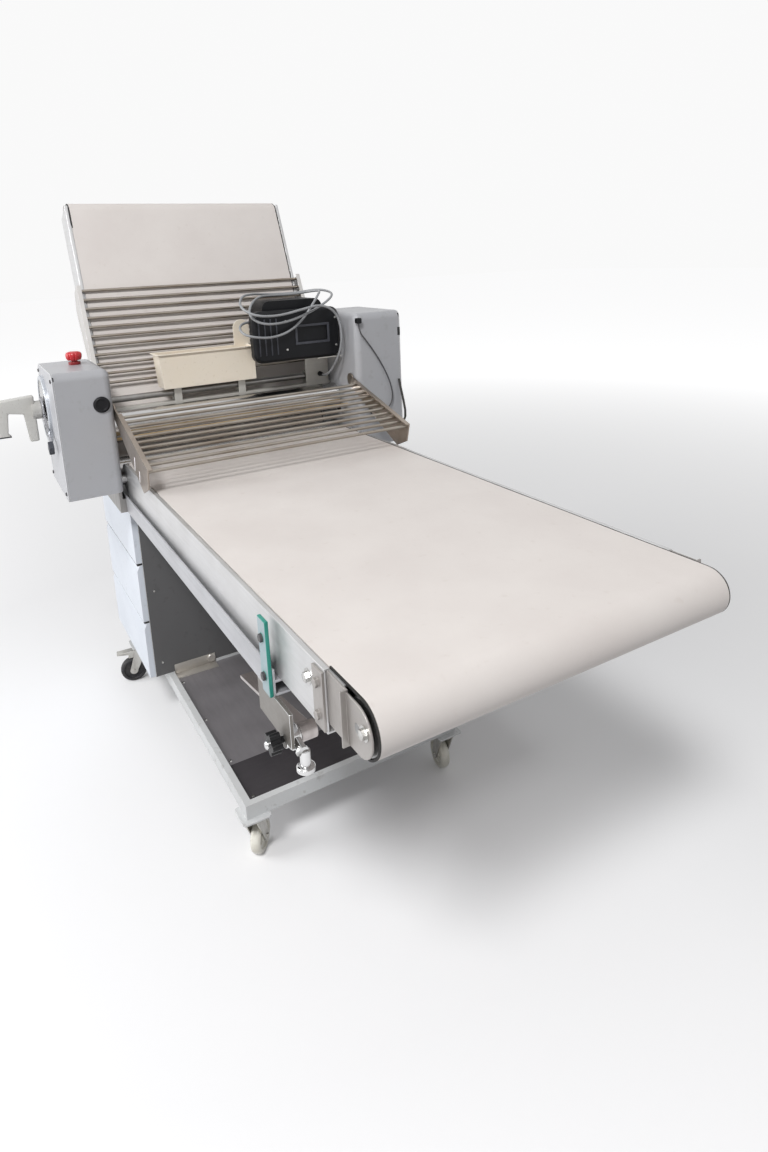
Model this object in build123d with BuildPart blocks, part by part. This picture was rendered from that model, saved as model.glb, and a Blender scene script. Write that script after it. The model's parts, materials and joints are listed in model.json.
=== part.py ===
"""Floor-standing dough sheeter: a two-roller head with gap handle, two folding belt tables with rod
guards, and a castored stand with three drawers.

Millimetres, +Z up, floor at z = 0. The origin lies on the floor under the sheeting rollers, +X runs along
the front table and -Y is the operator's side.
"""
from build123d import *
from math import acos, asin, cos, dist, pi, radians, sin, tan
import os

os.makedirs("parts", exist_ok=True)

# Clearances
running = 0.05
gap_small = 0.3
gap_clear = 1.0
wall_clear = 2.0

# Belts and tables
belt_top = 800.0
belt_width = 640.0
belt_thick = 3.0
belt_side_gap = 2.0
end_radius = 40.0
hinge_x = 90.0
front_length = 1254.0
rear_length = 737.0
fold_angle = 68.0
rail_flange = 8.0
rail_foot = 30.0
rail_sheet = 3.0
rail_drop = 54.0
rail_stop = 80.0
rear_rail_stop = -20.0
bed_thick = 3.2
cross_tube = 30.0
cross_count = 3
boss_radius = 20.0
pivot_radius = 10.0
journal_radius = 8.0
nose_plate_back = 190.0
nose_plate_half = 35.0
nose_panel_half = 39.0
nose_rib = 8.0
nose_rib_back = 26.0
strap_width = 30.0
strap_thick = 4.0
bolt_radius = 7.0
bolt_height = 5.0

# Sheeting head
roller_radius = 42.0
roller_lift = 4.0
roller_gap = 12.0
neck_radius = 15.0
bush_radius = 22.0
gap_rest = 35.0
gap_most = 45.0
housing_gap = 16.0
housing_half = 138.0
housing_bottom = 740.0
housing_sheet = 3.0
housing_round = 22.0
housing_edge = 18.0
left_depth = 130.0
left_top = 1058.0
right_depth = 147.0
right_top = 1140.0
cover_thick = 4.0
plate_inset = 4.0
plate_thick = 8.0
plate_top = 1020.0
foot_height = 36.0
bridge_x = -61.0
bridge_width = 30.0
bridge_height = 24.0
bridge_top = 922.0
bridge_sheet = 3.0
saddle_top = 960.0
saddle_width = 22.0
bracket_width = 78.0
scraper_x = 46.0
scraper_z = 854.0
scraper_width = 24.0
scraper_rise = 8.0
scraper_thick = 6.0
motor_radius = 46.0
motor_length = 80.0
motor_flange = 12.0

# Gap adjustment: a handle on a cross shaft whose pinions lift the roller carriers on racks
gap_axis_z = 945.0
shaft_radius = 9.0
gear_module = 1.5
gear_teeth = 17
gear_width = 12.0
gear_backlash = 0.15
pressure_angle = 20.0
carrier_half = 30.0
carrier_arm = 20.0
carrier_skirt = 66.0
carrier_thick = 16.0
guide_width = 10.0
guide_low = 785.0
guide_high = 850.0
dial_radius = 88.0
dial_thick = 8.0
hub_radius = 24.0
hub_length = 20.0
handle_reach = 92.0
handle_rise = 40.0
handle_drop = 80.0
handle_foot = 62.0
handle_thick = 30.0
handle_round = 5.0
leg_width = 22.0
leg_taper = 6.0
foot_thick = 9.0
foot_flare = 8.0
stop_lean = -33.0
stop_length = 146.0
stop_width = 16.0
stop_ring = 9.0
stop_thick = 6.0
stop_block = 26.0
estop_x = -20.0
estop_y = -402.0
estop_radius = 20.0
estop_height = 22.0
estop_travel = 4.0
collar_radius = 15.0
collar_height = 8.0
plug_y = -374.0
plug_z = 972.0
plug_radius = 20.0
plug_height = 6.0

# Guards
guard_x = 100.0
guard_z = 945.0
guard_length = 320.0
guard_slope = 16.0
guard_ratio = 1.2
guard_sheet = 4.0
guard_gap = 3.0
guard_depth = 86.0
guard_lip = 12.0
guard_flange = 12.0
guard_boss = 18.0
guard_pin = 6.0
rod_radius = 4.0
rod_count = 11
rod_first = 44.0

# Stand
beam_proud = 12.0
beam_wall = 4.0
beam_width = 40.0
beam_height = 26.0
beam_lip = 18.0
beam_back = -345.0
beam_front = 1108.0
beam_seat = 10.0
castor_height = 125.0
frame_half = 277.0
frame_back = -345.0
frame_front = 692.0
frame_tube = 35.0
frame_rim = 16.0
frame_wall = 3.0
shelf_thick = 2.0
shelf_drop = 8.0
shelf_ledge = 12.0
cabinet_back = -361.0
cabinet_front = 67.0
cabinet_sheet = 2.0
drawer_count = 3
drawer_gap = 6.0
drawer_face = 16.0
drawer_depth = 480.0
drawer_height = 110.0
drawer_sheet = 1.6
drawer_side = 12.0
runner_height = 14.0
runner_under = 10.0
stop_bar_width = 30.0
stop_bar_thick = 6.0
stop_bar_top = 802.0

# Castors, each with its trail direction in degrees
castor_inset = 18.0
castor_rear_inset = 115.0
castor_front_in = 20.0
castor_rear_out = 15.0
castor_trail = 30.0
castor_plate = 64.0
castor_plate_thick = 4.0
wheel_radius = 40.0
wheel_width = 24.0
wheel_round = 5.0
wheel_dish = 4.0
fork_head = 8.0
fork_radius = 24.0
fork_end = 12.0
fork_sheet = 3.0
fork_gap = 1.5
axle_radius = 4.0
kingpin_radius = 6.0
brake_pin = 3.0
brake_pin_x = 12.0
brake_pin_drop = 14.0
brake_reach = 76.0
brake_thick = 4.0
brake_pad_gap = 3.0

# Flour tray, foot switch and swing arm
tray_x = -63.0
tray_y_low = -177.0
tray_y_high = 95.0
tray_lean = 8.0
tray_depth = 66.0
tray_height = 98.0
tray_wall = 2.5
tray_rim = 6.0
tab_width = 50.0
tab_height = 74.0
tab_past = 12.0
switch_gap = 6.0
switch_length = 274.0
switch_low = 1012.0
switch_height = 148.0
switch_thick = 30.0
switch_back = 20.0
switch_round = 26.0
recess_length = 96.0
recess_height = 44.0
recess_depth = 7.0
hood_length = 190.0
hood_depth = 95.0
hood_top = 1186.0
hood_round = 24.0
hood_wall = 4.0
treadle_thick = 6.0
treadle_length = 122.0
treadle_lean = 8.0
treadle_pin = 4.0
treadle_x = 4.0
treadle_drop = 36.0
arm_ahead = 24.0
arm_z = 624.0
arm_length = 262.0
arm_width = 26.0
arm_thick = 6.0
arm_dip = 9.0
arm_boss = 14.0
arm_pin = 6.0
hanger_back = 92.0
hanger_front = 30.0
hanger_thick = 6.0
clamp_length = 18.0
knob_radius = 16.0
knob_height = 16.0
knob_lobes = 5
spindle_radius = 5.0
spindle_length = 26.0

# Cords and their glands
cord_diameter = 7.0
thin_cord_diameter = 4.0
gland_radius = 8.0
gland_length = 22.0

# Widths and heights worked out from the belt
rail_outer = belt_width / 2 + belt_side_gap + rail_flange
web_inner = rail_outer - rail_sheet
housing_inner = rail_outer + housing_gap
roller_half = housing_inner - roller_gap
plate_inner = housing_inner + plate_inset
plate_outer = plate_inner + plate_thick
guard_outer = housing_inner - guard_gap
guard_inner = guard_outer - guard_sheet
switch_y = housing_inner - switch_gap - switch_length / 2
beam_outer = rail_outer + beam_proud
cabinet_half = beam_outer - beam_width + beam_seat
arm_x = beam_front + arm_ahead
plate_half = housing_half - housing_edge - gap_clear
axis_z = belt_top - end_radius
drum_radius = end_radius - belt_thick - gap_small
lower_z = belt_top + roller_lift - roller_radius
upper_z = belt_top + roller_lift + gap_rest + roller_radius
beam_top = axis_z - rail_drop - gap_small
beam_bottom = beam_top - beam_height
frame_top = castor_height + frame_tube
fold = radians(fold_angle)
guard_down = radians(guard_slope)
guard_up = radians(fold_angle * guard_ratio - guard_slope)

# Each plane has its x along the piece, away from the rollers, and its z along the piece's upper face normal
head_plane = Plane(origin=(0, 0, 0), x_dir=(1, 0, 0), z_dir=(0, 0, 1))
front_plane = Plane(origin=(hinge_x, 0, axis_z), x_dir=(1, 0, 0), z_dir=(0, 0, 1))
rear_plane = Plane(origin=(-hinge_x, 0, axis_z), x_dir=(-cos(fold), 0, sin(fold)),
                   z_dir=(sin(fold), 0, cos(fold)))
front_guard_plane = Plane(origin=(guard_x, 0, guard_z), x_dir=(cos(guard_down), 0, -sin(guard_down)),
                          z_dir=(sin(guard_down), 0, cos(guard_down)))
rear_guard_plane = Plane(origin=(-guard_x, 0, guard_z), x_dir=(-cos(guard_up), 0, sin(guard_up)),
                         z_dir=(sin(guard_up), 0, cos(guard_up)))


def side_plane(plane, y):
    """Sketch plane across a piece at its own y: sketch x runs along it, sketch y is its normal."""
    return Plane(origin=plane.from_local_coords((0, y, 0)), x_dir=plane.x_dir, z_dir=plane.y_dir * -1)


def cross_plane(plane, x):
    """Sketch plane square to a piece at its own x: sketch x runs across it, sketch y is its normal."""
    return Plane(origin=plane.from_local_coords((x, 0, 0)), x_dir=plane.y_dir, z_dir=plane.x_dir)


def save(builder, name):
    builder.part.label = name
    export_step(builder.part, f"parts/{name}.step")


# Belt tables: an aluminium frame of two channel rails, a slider bed and cross tubes, folding on two pivot pins
def table_frame(plane, length, stop, name):
    full_bed = length - nose_plate_back - gap_clear
    with BuildPart() as frame:
        with BuildSketch(cross_plane(plane, 0)):
            for side in (-1, 1):
                with BuildLine():
                    Polyline((side * rail_outer, -rail_drop), (side * rail_outer, end_radius),
                             (side * (rail_outer - rail_flange), end_radius),
                             (side * (rail_outer - rail_flange), end_radius - rail_sheet),
                             (side * web_inner, end_radius - rail_sheet), (side * web_inner, rail_sheet - rail_drop),
                             (side * (rail_outer - rail_foot), rail_sheet - rail_drop),
                             (side * (rail_outer - rail_foot), -rail_drop), close=True)
                make_face()
        extrude(amount=length - stop)
        for side in (-1, 1):
            with BuildSketch(side_plane(plane, side * rail_outer)):
                Circle(end_radius)
            extrude(amount=side * rail_sheet)
            with BuildSketch(side_plane(plane, side * rail_outer)):
                Circle(boss_radius)
            extrude(amount=side * rail_flange)
            with BuildSketch(side_plane(plane, side * rail_outer)):
                Circle(pivot_radius)
            extrude(amount=-side * (plate_outer - rail_outer))
        bed_middle = end_radius - belt_thick - gap_small - bed_thick / 2
        with BuildSketch(cross_plane(plane, end_radius)):
            with Locations((0, bed_middle)):
                Rectangle(2 * web_inner, bed_thick)
        extrude(amount=full_bed - end_radius)
        with BuildSketch(cross_plane(plane, full_bed)):
            with Locations((0, bed_middle)):
                Rectangle(2 * (web_inner - rail_sheet - gap_clear), bed_thick)
        extrude(amount=length - end_radius - full_bed)
        tube_step = full_bed / cross_count
        with BuildSketch(side_plane(plane, 0)):
            with Locations(*[(tube_step * (step + 0.6), 0) for step in range(cross_count)]):
                Rectangle(cross_tube, cross_tube)
                Rectangle(cross_tube - 2 * rail_sheet, cross_tube - 2 * rail_sheet, mode=Mode.SUBTRACT)
        extrude(amount=web_inner, both=True)
        with BuildSketch(side_plane(plane, 0)):
            Circle(journal_radius + running)
        extrude(amount=web_inner, both=True, mode=Mode.SUBTRACT)
    save(frame, name)


# Nose plates: adjustable end plates with round ends for the nose roller. On the front table they also have a
# deep panel with a stiffening rib, and a clamping strap on the rail
def nose_plates(plane, length, strapped, name):
    with BuildPart() as plates:
        for side in (-1, 1):
            with BuildSketch(side_plane(plane, side * web_inner)):
                with Locations((length - nose_plate_back / 2, 0)):
                    Rectangle(nose_plate_back, 2 * nose_plate_half)
                with Locations((length, 0)):
                    Circle(nose_plate_half)
                    Circle(journal_radius + running, mode=Mode.SUBTRACT)
            extrude(amount=side * rail_sheet)
            if not strapped:
                continue
            panel_back = length - rail_stop + gap_clear
            panel_front = length - nose_rib_back
            with BuildSketch(side_plane(plane, side * web_inner)):
                with Locations(((panel_back + panel_front) / 2, 0)):
                    Rectangle(panel_front - panel_back, 2 * nose_panel_half)
            extrude(amount=side * rail_sheet)
            with BuildSketch(side_plane(plane, side * web_inner)):
                with Locations((panel_front - rail_sheet / 2, 0)):
                    Rectangle(rail_sheet, 2 * nose_panel_half)
            extrude(amount=-side * nose_rib)
            with BuildSketch(side_plane(plane, side * rail_outer)):
                with Locations((length - rail_stop - strap_width / 2, (end_radius - rail_drop) / 2)):
                    Rectangle(strap_width, end_radius + rail_drop - 2 * strap_thick)
            extrude(amount=-side * strap_thick)
            with BuildSketch(side_plane(plane, side * (rail_outer + strap_thick))):
                with Locations((length - rail_stop - strap_width / 2, (end_radius - rail_drop) / 2)):
                    with GridLocations(strap_width, (end_radius + rail_drop) / 2, 1, 2):
                        RegularPolygon(bolt_radius, 6)
            extrude(amount=-side * bolt_height)
    save(plates, name)


def belt(plane, length, name):
    with BuildPart() as loop:
        with BuildSketch(side_plane(plane, 0)):
            with Locations((length / 2, 0)):
                SlotCenterToCenter(length, 2 * end_radius)
                SlotCenterToCenter(length, 2 * (end_radius - belt_thick), mode=Mode.SUBTRACT)
        extrude(amount=belt_width / 2, both=True)
    save(loop, name)


def drum(plane, x, journal_end, name):
    with BuildPart() as roller:
        with BuildSketch(side_plane(plane, 0)):
            with Locations((x, 0)):
                Circle(drum_radius)
        extrude(amount=belt_width / 2 - gap_clear, both=True)
        chamfer(roller.edges().filter_by(GeomType.CIRCLE), gap_clear)
        with BuildSketch(side_plane(plane, 0)):
            with Locations((x, 0)):
                Circle(journal_radius)
        extrude(amount=journal_end, both=True)
    save(roller, name)


for table, plane, length, stop in (("front", front_plane, front_length, rail_stop),
                                   ("rear", rear_plane, rear_length, rear_rail_stop)):
    table_frame(plane, length, stop, f"{table}_frame")
    nose_plates(plane, length, table == "front", f"{table}_nose_plates")
    belt(plane, length, f"{table}_belt")
    drum(plane, 0, web_inner - gap_clear, f"{table}_drive_roller")
    drum(plane, length, web_inner, f"{table}_nose_roller")


# Guards: side plates bent over along the top, on pivot pins, with a row of steel rods between them
def guard_frame(plane, name):
    tip = guard_length + guard_lip
    with BuildPart() as frame:
        for side in (-1, 1):
            with BuildSketch(side_plane(plane, side * guard_outer)):
                with BuildLine():
                    Polyline((0, guard_lip), (tip, guard_lip), (tip, guard_lip - guard_depth * 0.6),
                             (tip - guard_depth * 0.5, guard_lip - guard_depth), (0, -guard_boss), close=True)
                make_face()
                Circle(guard_boss)
            extrude(amount=side * guard_sheet)
            with BuildSketch(side_plane(plane, side * guard_outer)):
                with Locations(((tip + rod_first) / 2, guard_lip - guard_sheet / 2)):
                    Rectangle(tip - rod_first, guard_sheet)
            extrude(amount=side * guard_flange)
            with BuildSketch(side_plane(plane, side * guard_outer)):
                Circle(guard_pin)
            extrude(amount=-side * (plate_outer - guard_outer))
    save(frame, name)


def guard_rods(plane, name):
    rod_pitch = (guard_length - rod_first) / (rod_count - 1)
    with BuildPart() as rods:
        with BuildSketch(side_plane(plane, 0)):
            with Locations(*[(rod_first + rod_pitch * step, 0) for step in range(rod_count)]):
                Circle(rod_radius)
        extrude(amount=guard_inner, both=True)
    save(rods, name)


for table, plane in (("front", front_guard_plane), ("rear", rear_guard_plane)):
    guard_frame(plane, f"{table}_guard_frame")
    guard_rods(plane, f"{table}_guard_rods")


# Sheeting rollers: hardened rollers turned in one piece with their necks
def sheeting_roller(z, neck_end, name):
    with BuildPart() as roller:
        with BuildSketch(side_plane(head_plane, 0)):
            with Locations((0, z)):
                Circle(roller_radius)
        extrude(amount=roller_half, both=True)
        chamfer(roller.edges().filter_by(GeomType.CIRCLE), gap_clear)
        with BuildSketch(side_plane(head_plane, 0)):
            with Locations((0, z)):
                Circle(neck_radius)
        extrude(amount=neck_end, both=True)
    save(roller, name)


carrier_inner = plate_outer + gap_clear
carrier_outer = carrier_inner + carrier_thick
sheeting_roller(lower_z, plate_outer, "lower_roller")
sheeting_roller(upper_z, carrier_outer, "upper_roller")

# Roller carriers: bearing blocks that slide on the outer side of the head plates, each with a rack on its arm
rack_pitch = pi * gear_module
pitch_radius = gear_module * gear_teeth / 2
rack_line = bridge_x + pitch_radius
tooth_add = 0.8 * gear_module
tooth_ded = 0.95 * gear_module
flank = tan(radians(pressure_angle))
rack_half = rack_pitch / 4 - gear_backlash
rack_below = int((gap_most - gap_rest) / rack_pitch) + 2
rack_above = int(gap_rest / rack_pitch) + 2
arm_low = gap_axis_z - (rack_below + 0.5) * rack_pitch
arm_high = gap_axis_z + (rack_above + 0.5) * rack_pitch
with BuildPart() as roller_carriers:
    for side in (-1, 1):
        with BuildSketch(side_plane(head_plane, side * carrier_inner)):
            with BuildLine():
                Polyline((-carrier_half, upper_z - carrier_skirt), (carrier_half, upper_z - carrier_skirt),
                         (carrier_half, arm_low), (carrier_arm, arm_low + carrier_half - carrier_arm),
                         (carrier_arm, arm_high), (rack_line + tooth_ded, arm_high),
                         (rack_line + tooth_ded, arm_low), (-carrier_half, arm_low), close=True)
            make_face()
            for tooth in range(-rack_below, rack_above + 1):
                middle = gap_axis_z + tooth * rack_pitch
                with BuildLine():
                    Polyline((rack_line + tooth_ded, middle - rack_half - tooth_ded * flank),
                             (rack_line - tooth_add, middle - rack_half + tooth_add * flank),
                             (rack_line - tooth_add, middle + rack_half - tooth_add * flank),
                             (rack_line + tooth_ded, middle + rack_half + tooth_ded * flank), close=True)
                make_face()
            with Locations((0, upper_z)):
                Circle(neck_radius + running, mode=Mode.SUBTRACT)
        extrude(amount=-side * carrier_thick)
save(roller_carriers, "roller_carriers")

# Gap shaft: a cross shaft with a pinion at each end, in mesh with the racks
base_radius = pitch_radius * cos(radians(pressure_angle))
tip_radius = pitch_radius + tooth_add
root_radius = pitch_radius - tooth_ded
half_angle = pi / gear_teeth / 2 - gear_backlash / pitch_radius
involute_pitch = tan(radians(pressure_angle)) - radians(pressure_angle)
tip_pressure = acos(base_radius / tip_radius)
involute_tip = tan(tip_pressure) - tip_pressure


def polar(radius, angle):
    return (bridge_x + radius * cos(angle), gap_axis_z + radius * sin(angle))


left_face = housing_inner + left_depth + cover_thick
hub_face = left_face + dial_thick + gap_small
with BuildPart() as gap_shaft:
    with BuildSketch(side_plane(head_plane, -hub_face - hub_length)):
        with Locations((bridge_x, gap_axis_z)):
            Circle(shaft_radius)
    extrude(amount=-(hub_face + hub_length + carrier_outer))
    for side in (-1, 1):
        with BuildSketch(side_plane(head_plane, side * (carrier_outer - gear_width))):
            with Locations((bridge_x, gap_axis_z)):
                Circle(root_radius)
            for tooth in range(gear_teeth):
                centre = (2 * tooth + 1) * pi / gear_teeth
                wide = half_angle + involute_pitch
                narrow = half_angle + involute_pitch - involute_tip
                with BuildLine():
                    Polyline(polar(root_radius - gap_small, centre - wide), polar(base_radius, centre - wide),
                             polar(pitch_radius, centre - half_angle), polar(tip_radius, centre - narrow),
                             polar(tip_radius, centre + narrow), polar(pitch_radius, centre + half_angle),
                             polar(base_radius, centre + wide), polar(root_radius - gap_small, centre + wide),
                             close=True)
                make_face()
        extrude(amount=-side * gear_width)
save(gap_shaft, "gap_shaft")

# Gap handle: one casting with a hub on the shaft, a grip leg with a flared foot and a short inner leg
limb_inner = hub_face + hub_length
limb_outer = limb_inner + handle_reach
with BuildPart() as gap_handle:
    with BuildSketch(Plane(origin=(bridge_x, 0, gap_axis_z), x_dir=(0, -1, 0), z_dir=(-1, 0, 0))):
        with BuildLine():
            Polyline((limb_inner, -handle_drop), (limb_inner + leg_width, -handle_drop),
                     (limb_inner + leg_width + leg_taper, -leg_taper), (limb_outer - leg_width - leg_taper, 0),
                     (limb_outer - leg_width, foot_thick - handle_foot),
                     (limb_outer - leg_width - foot_flare, -handle_foot), (limb_outer + foot_flare, -handle_foot),
                     (limb_outer, foot_thick - handle_foot), (limb_outer, handle_rise / 2),
                     (limb_outer - 2 * leg_taper, handle_rise - leg_taper), (limb_inner, handle_rise), close=True)
        make_face()
    extrude(amount=handle_thick / 2, both=True)
    fillet(gap_handle.edges().filter_by(Axis.X).group_by(Axis.Z)[-1], handle_round)
    chamfer(gap_handle.faces().filter_by(Axis.X).edges(), handle_round / 2)
    with BuildSketch(side_plane(head_plane, -hub_face)):
        with Locations((bridge_x, gap_axis_z)):
            Circle(hub_radius)
    extrude(amount=hub_length + leg_taper)
    with BuildSketch(side_plane(head_plane, -hub_face)):
        with Locations((bridge_x, gap_axis_z)):
            Circle(shaft_radius)
    extrude(amount=hub_length, mode=Mode.SUBTRACT)
save(gap_handle, "gap_handle")

# Gap stop: a lever round the handle's hub, with a stop block at the dial's rim
stop_turn = radians(stop_lean)
stop_plane = Plane(origin=(bridge_x, -hub_face, gap_axis_z), x_dir=(cos(stop_turn), 0, sin(stop_turn)),
                   z_dir=(0, -1, 0))
with BuildPart() as gap_stop:
    with BuildSketch(stop_plane):
        Circle(hub_radius + stop_ring)
        with Locations((stop_length / 2, 0)):
            Rectangle(stop_length, stop_width)
        Circle(hub_radius + gap_small, mode=Mode.SUBTRACT)
    extrude(amount=stop_thick)
    with BuildSketch(stop_plane):
        with Locations((stop_length, 0)):
            RectangleRounded(stop_block, stop_block, stop_block / 6)
    extrude(amount=2 * stop_thick)
save(gap_stop, "gap_stop")

with BuildPart() as gap_dial:
    with BuildSketch(side_plane(head_plane, -left_face)):
        with Locations((bridge_x, gap_axis_z)):
            Circle(dial_radius)
            Circle(shaft_radius + gap_clear, mode=Mode.SUBTRACT)
    extrude(amount=dial_thick)
    chamfer(gap_dial.faces().sort_by(Axis.Y)[0].outer_wire().edges(), dial_thick / 3)
save(gap_dial, "gap_dial")


# Head plates: thick plates bolted to the beams, carrying every pivot, with guides for the roller carriers
def head_openings(spare, mode):
    """The shaft holes and the roller slot, the same in the head plates and in the housing walls."""
    with Locations((0, upper_z + gap_most / 2 - gap_rest)):
        SlotCenterToCenter(gap_most, 2 * (neck_radius + wall_clear), rotation=90, mode=mode)
    with Locations((bridge_x, gap_axis_z)):
        Circle(shaft_radius + spare, mode=mode)
    with Locations((-hinge_x, axis_z), (hinge_x, axis_z)):
        Circle(pivot_radius + spare, mode=mode)
    with Locations((-guard_x, guard_z), (guard_x, guard_z)):
        Circle(guard_pin + spare, mode=mode)


motor_z = plate_top + motor_radius
with BuildPart() as head_plates:
    for side, top in ((-1, plate_top), (1, motor_z + motor_radius)):
        with BuildSketch(side_plane(head_plane, side * plate_inner)):
            with Locations((0, (beam_bottom + top) / 2)):
                Rectangle(2 * plate_half, top - beam_bottom)
            head_openings(running, Mode.SUBTRACT)
            with Locations((0, lower_z)):
                Circle(bush_radius, mode=Mode.SUBTRACT)
        extrude(amount=-side * plate_thick)
        with BuildSketch(side_plane(head_plane, side * plate_inner)):
            with Locations((0, beam_bottom + foot_height / 2)):
                Rectangle(2 * plate_half, foot_height)
        extrude(amount=side * (plate_inner - beam_outer))
        guide_middle = carrier_half + gap_small + guide_width / 2
        with BuildSketch(side_plane(head_plane, side * plate_outer)):
            with Locations((0, (guide_low + guide_high) / 2)):
                with GridLocations(2 * guide_middle, 1, 2, 1):
                    Rectangle(guide_width, guide_high - guide_low)
        extrude(amount=-side * (carrier_outer - plate_outer))
save(head_plates, "head_plates")

with BuildPart() as roller_bearings:
    for side in (-1, 1):
        with BuildSketch(side_plane(head_plane, side * plate_inner)):
            with Locations((0, lower_z)):
                Circle(bush_radius)
                Circle(neck_radius + running, mode=Mode.SUBTRACT)
        extrude(amount=-side * plate_thick)
save(roller_bearings, "roller_bearings")

with BuildPart() as drive_motor:
    with BuildSketch(side_plane(head_plane, plate_outer)):
        with Locations((0, motor_z)):
            RectangleRounded(2 * motor_radius, 2 * motor_radius, motor_radius / 4)
    extrude(amount=-motor_flange)
    with BuildSketch(side_plane(head_plane, plate_outer + motor_flange)):
        with Locations((0, motor_z)):
            Circle(motor_radius)
    extrude(amount=-motor_length)
    fillet(drive_motor.faces().sort_by(Axis.Y)[-1].edges(), motor_radius / 6)
save(drive_motor, "drive_motor")


# Housings: pressed boxes with rounded edges round the head plates, closed by a flat cover on the outer side
def housing_block(side, inset, depth, top):
    bottom = housing_bottom + inset
    half = housing_half - inset
    with BuildPart() as block:
        with BuildSketch(side_plane(head_plane, side * (housing_inner + inset))) as outline:
            with Locations((0, (bottom + top - inset) / 2)):
                Rectangle(2 * half, top - inset - bottom)
            fillet(outline.vertices().group_by(Axis.Y)[-1], housing_round - inset)
        extrude(amount=-side * (depth - inset))
        inner_face = block.faces().filter_by(Axis.Y).sort_by(Axis.Y)[(1 - side) // -2]
        fillet(inner_face.edges().sort_by(Axis.Z)[1:], housing_edge - inset)
    return block.part


def housing(side, depth, top, name):
    with BuildPart() as box:
        add(housing_block(side, 0, depth, top))
        add(housing_block(side, housing_sheet, depth, top), mode=Mode.SUBTRACT)
        with BuildSketch(side_plane(head_plane, side * housing_inner)):
            head_openings(wall_clear, Mode.ADD)
            with Locations((0, lower_z)):
                Circle(neck_radius + wall_clear)
        extrude(amount=-side * housing_sheet, mode=Mode.SUBTRACT)
        with BuildSketch(Plane.XY.offset(housing_bottom)):
            with Locations((0, side * (plate_inner + plate_outer) / 2)):
                Rectangle(2 * (plate_half + gap_small), plate_thick + 2 * gap_small)
        extrude(amount=housing_sheet, mode=Mode.SUBTRACT)
    save(box, name)


def housing_cover(side, depth, top, name):
    with BuildPart() as cover:
        with BuildSketch(side_plane(head_plane, side * (housing_inner + depth))) as outline:
            with Locations((0, (housing_bottom + top) / 2)):
                Rectangle(2 * housing_half, top - housing_bottom)
            fillet(outline.vertices().group_by(Axis.Y)[-1], housing_round)
            if side < 0:
                with Locations((bridge_x, gap_axis_z)):
                    Circle(shaft_radius + gap_clear, mode=Mode.SUBTRACT)
        extrude(amount=-side * cover_thick)
    save(cover, name)


for side, depth, top, name in ((-1, left_depth, left_top, "left"), (1, right_depth, right_top, "right")):
    housing(side, depth, top, f"{name}_housing")
    housing_cover(side, depth, top, f"{name}_cover")

with BuildPart() as blanking_plug:
    with BuildSketch(Plane(origin=(housing_half, plug_y, plug_z), x_dir=(0, 1, 0), z_dir=(1, 0, 0))):
        Circle(plug_radius)
    extrude(amount=plug_height)
    fillet(blanking_plug.edges().sort_by(Axis.X)[-1], plug_height / 2)
save(blanking_plug, "blanking_plug")

# Emergency stop: a mushroom button whose stem slides in a collar on top of the left housing
with BuildPart() as estop_collar:
    with BuildSketch(Plane.XY.offset(left_top)):
        with Locations((estop_x, estop_y)):
            Circle(collar_radius)
            Circle(journal_radius + running, mode=Mode.SUBTRACT)
    extrude(amount=collar_height)
save(estop_collar, "estop_collar")

stem_low = left_top + estop_travel + gap_small
button_low = stem_low + collar_height
button_rim = button_low + estop_height / 2
button_top = button_low + estop_height
dome_radius = (estop_radius ** 2 + (estop_height / 2) ** 2) / estop_height
dome_half = asin(estop_radius / dome_radius) / 2
dome_point = (dome_radius * sin(dome_half), button_top - dome_radius * (1 - cos(dome_half)))
with BuildPart() as estop_button:
    with BuildSketch(Plane(origin=(estop_x, estop_y, 0), x_dir=(1, 0, 0), z_dir=(0, -1, 0))):
        with BuildLine():
            Polyline((0, button_top), (0, stem_low), (journal_radius, stem_low), (journal_radius, button_low),
                     (estop_radius * 0.8, button_low), (estop_radius, button_rim))
            ThreePointArc((estop_radius, button_rim), dome_point, (0, button_top))
        make_face()
    revolve(axis=Axis((estop_x, estop_y, 0), (0, 0, 1)))
save(estop_button, "estop_button")

# Bridge: an inverted channel between the housings below the gap shaft, with two saddles over the shaft for
# the tray and a wider one bent up and forwards into a bracket for the foot switch
saddle_height = saddle_top - bridge_top
bridge_front = bridge_x + bridge_width / 2
bracket_y = switch_y + switch_length / 2 - bracket_width / 2
bracket_front = switch_back + switch_thick
tray_middle = (tray_y_low + tray_y_high) / 2
tray_span = (tray_y_high - tray_y_low) * 0.7
with BuildPart() as bridge_cover:
    with BuildSketch(side_plane(head_plane, 0)):
        with Locations((bridge_x, bridge_top - bridge_height / 2)):
            Rectangle(bridge_width, bridge_height)
        with Locations((bridge_x, bridge_top - bridge_height / 2 - bridge_sheet)):
            Rectangle(bridge_width - 2 * bridge_sheet, bridge_height, mode=Mode.SUBTRACT)
    extrude(amount=housing_inner, both=True)
    for y, width in ((tray_middle - tray_span / 2, saddle_width), (tray_middle + tray_span / 2, saddle_width),
                     (bracket_y, bracket_width)):
        with BuildSketch(side_plane(head_plane, y)):
            with Locations((bridge_x, bridge_top + saddle_height / 2)):
                Rectangle(bridge_width, saddle_height)
            with Locations((bridge_x, bridge_top + (saddle_height - bridge_sheet) / 2)):
                Rectangle(bridge_width - 2 * bridge_sheet, saddle_height - bridge_sheet, mode=Mode.SUBTRACT)
        extrude(amount=width / 2, both=True)
    with BuildSketch(side_plane(head_plane, bracket_y)):
        with BuildLine():
            Polyline((bridge_front - bridge_sheet, saddle_top - bridge_sheet),
                     (bridge_front, saddle_top - bridge_sheet), (bridge_front, switch_low - bridge_sheet),
                     (bracket_front, switch_low - bridge_sheet), (bracket_front, switch_low),
                     (bridge_front - bridge_sheet, switch_low), close=True)
        make_face()
    extrude(amount=bracket_width / 2, both=True)
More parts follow.
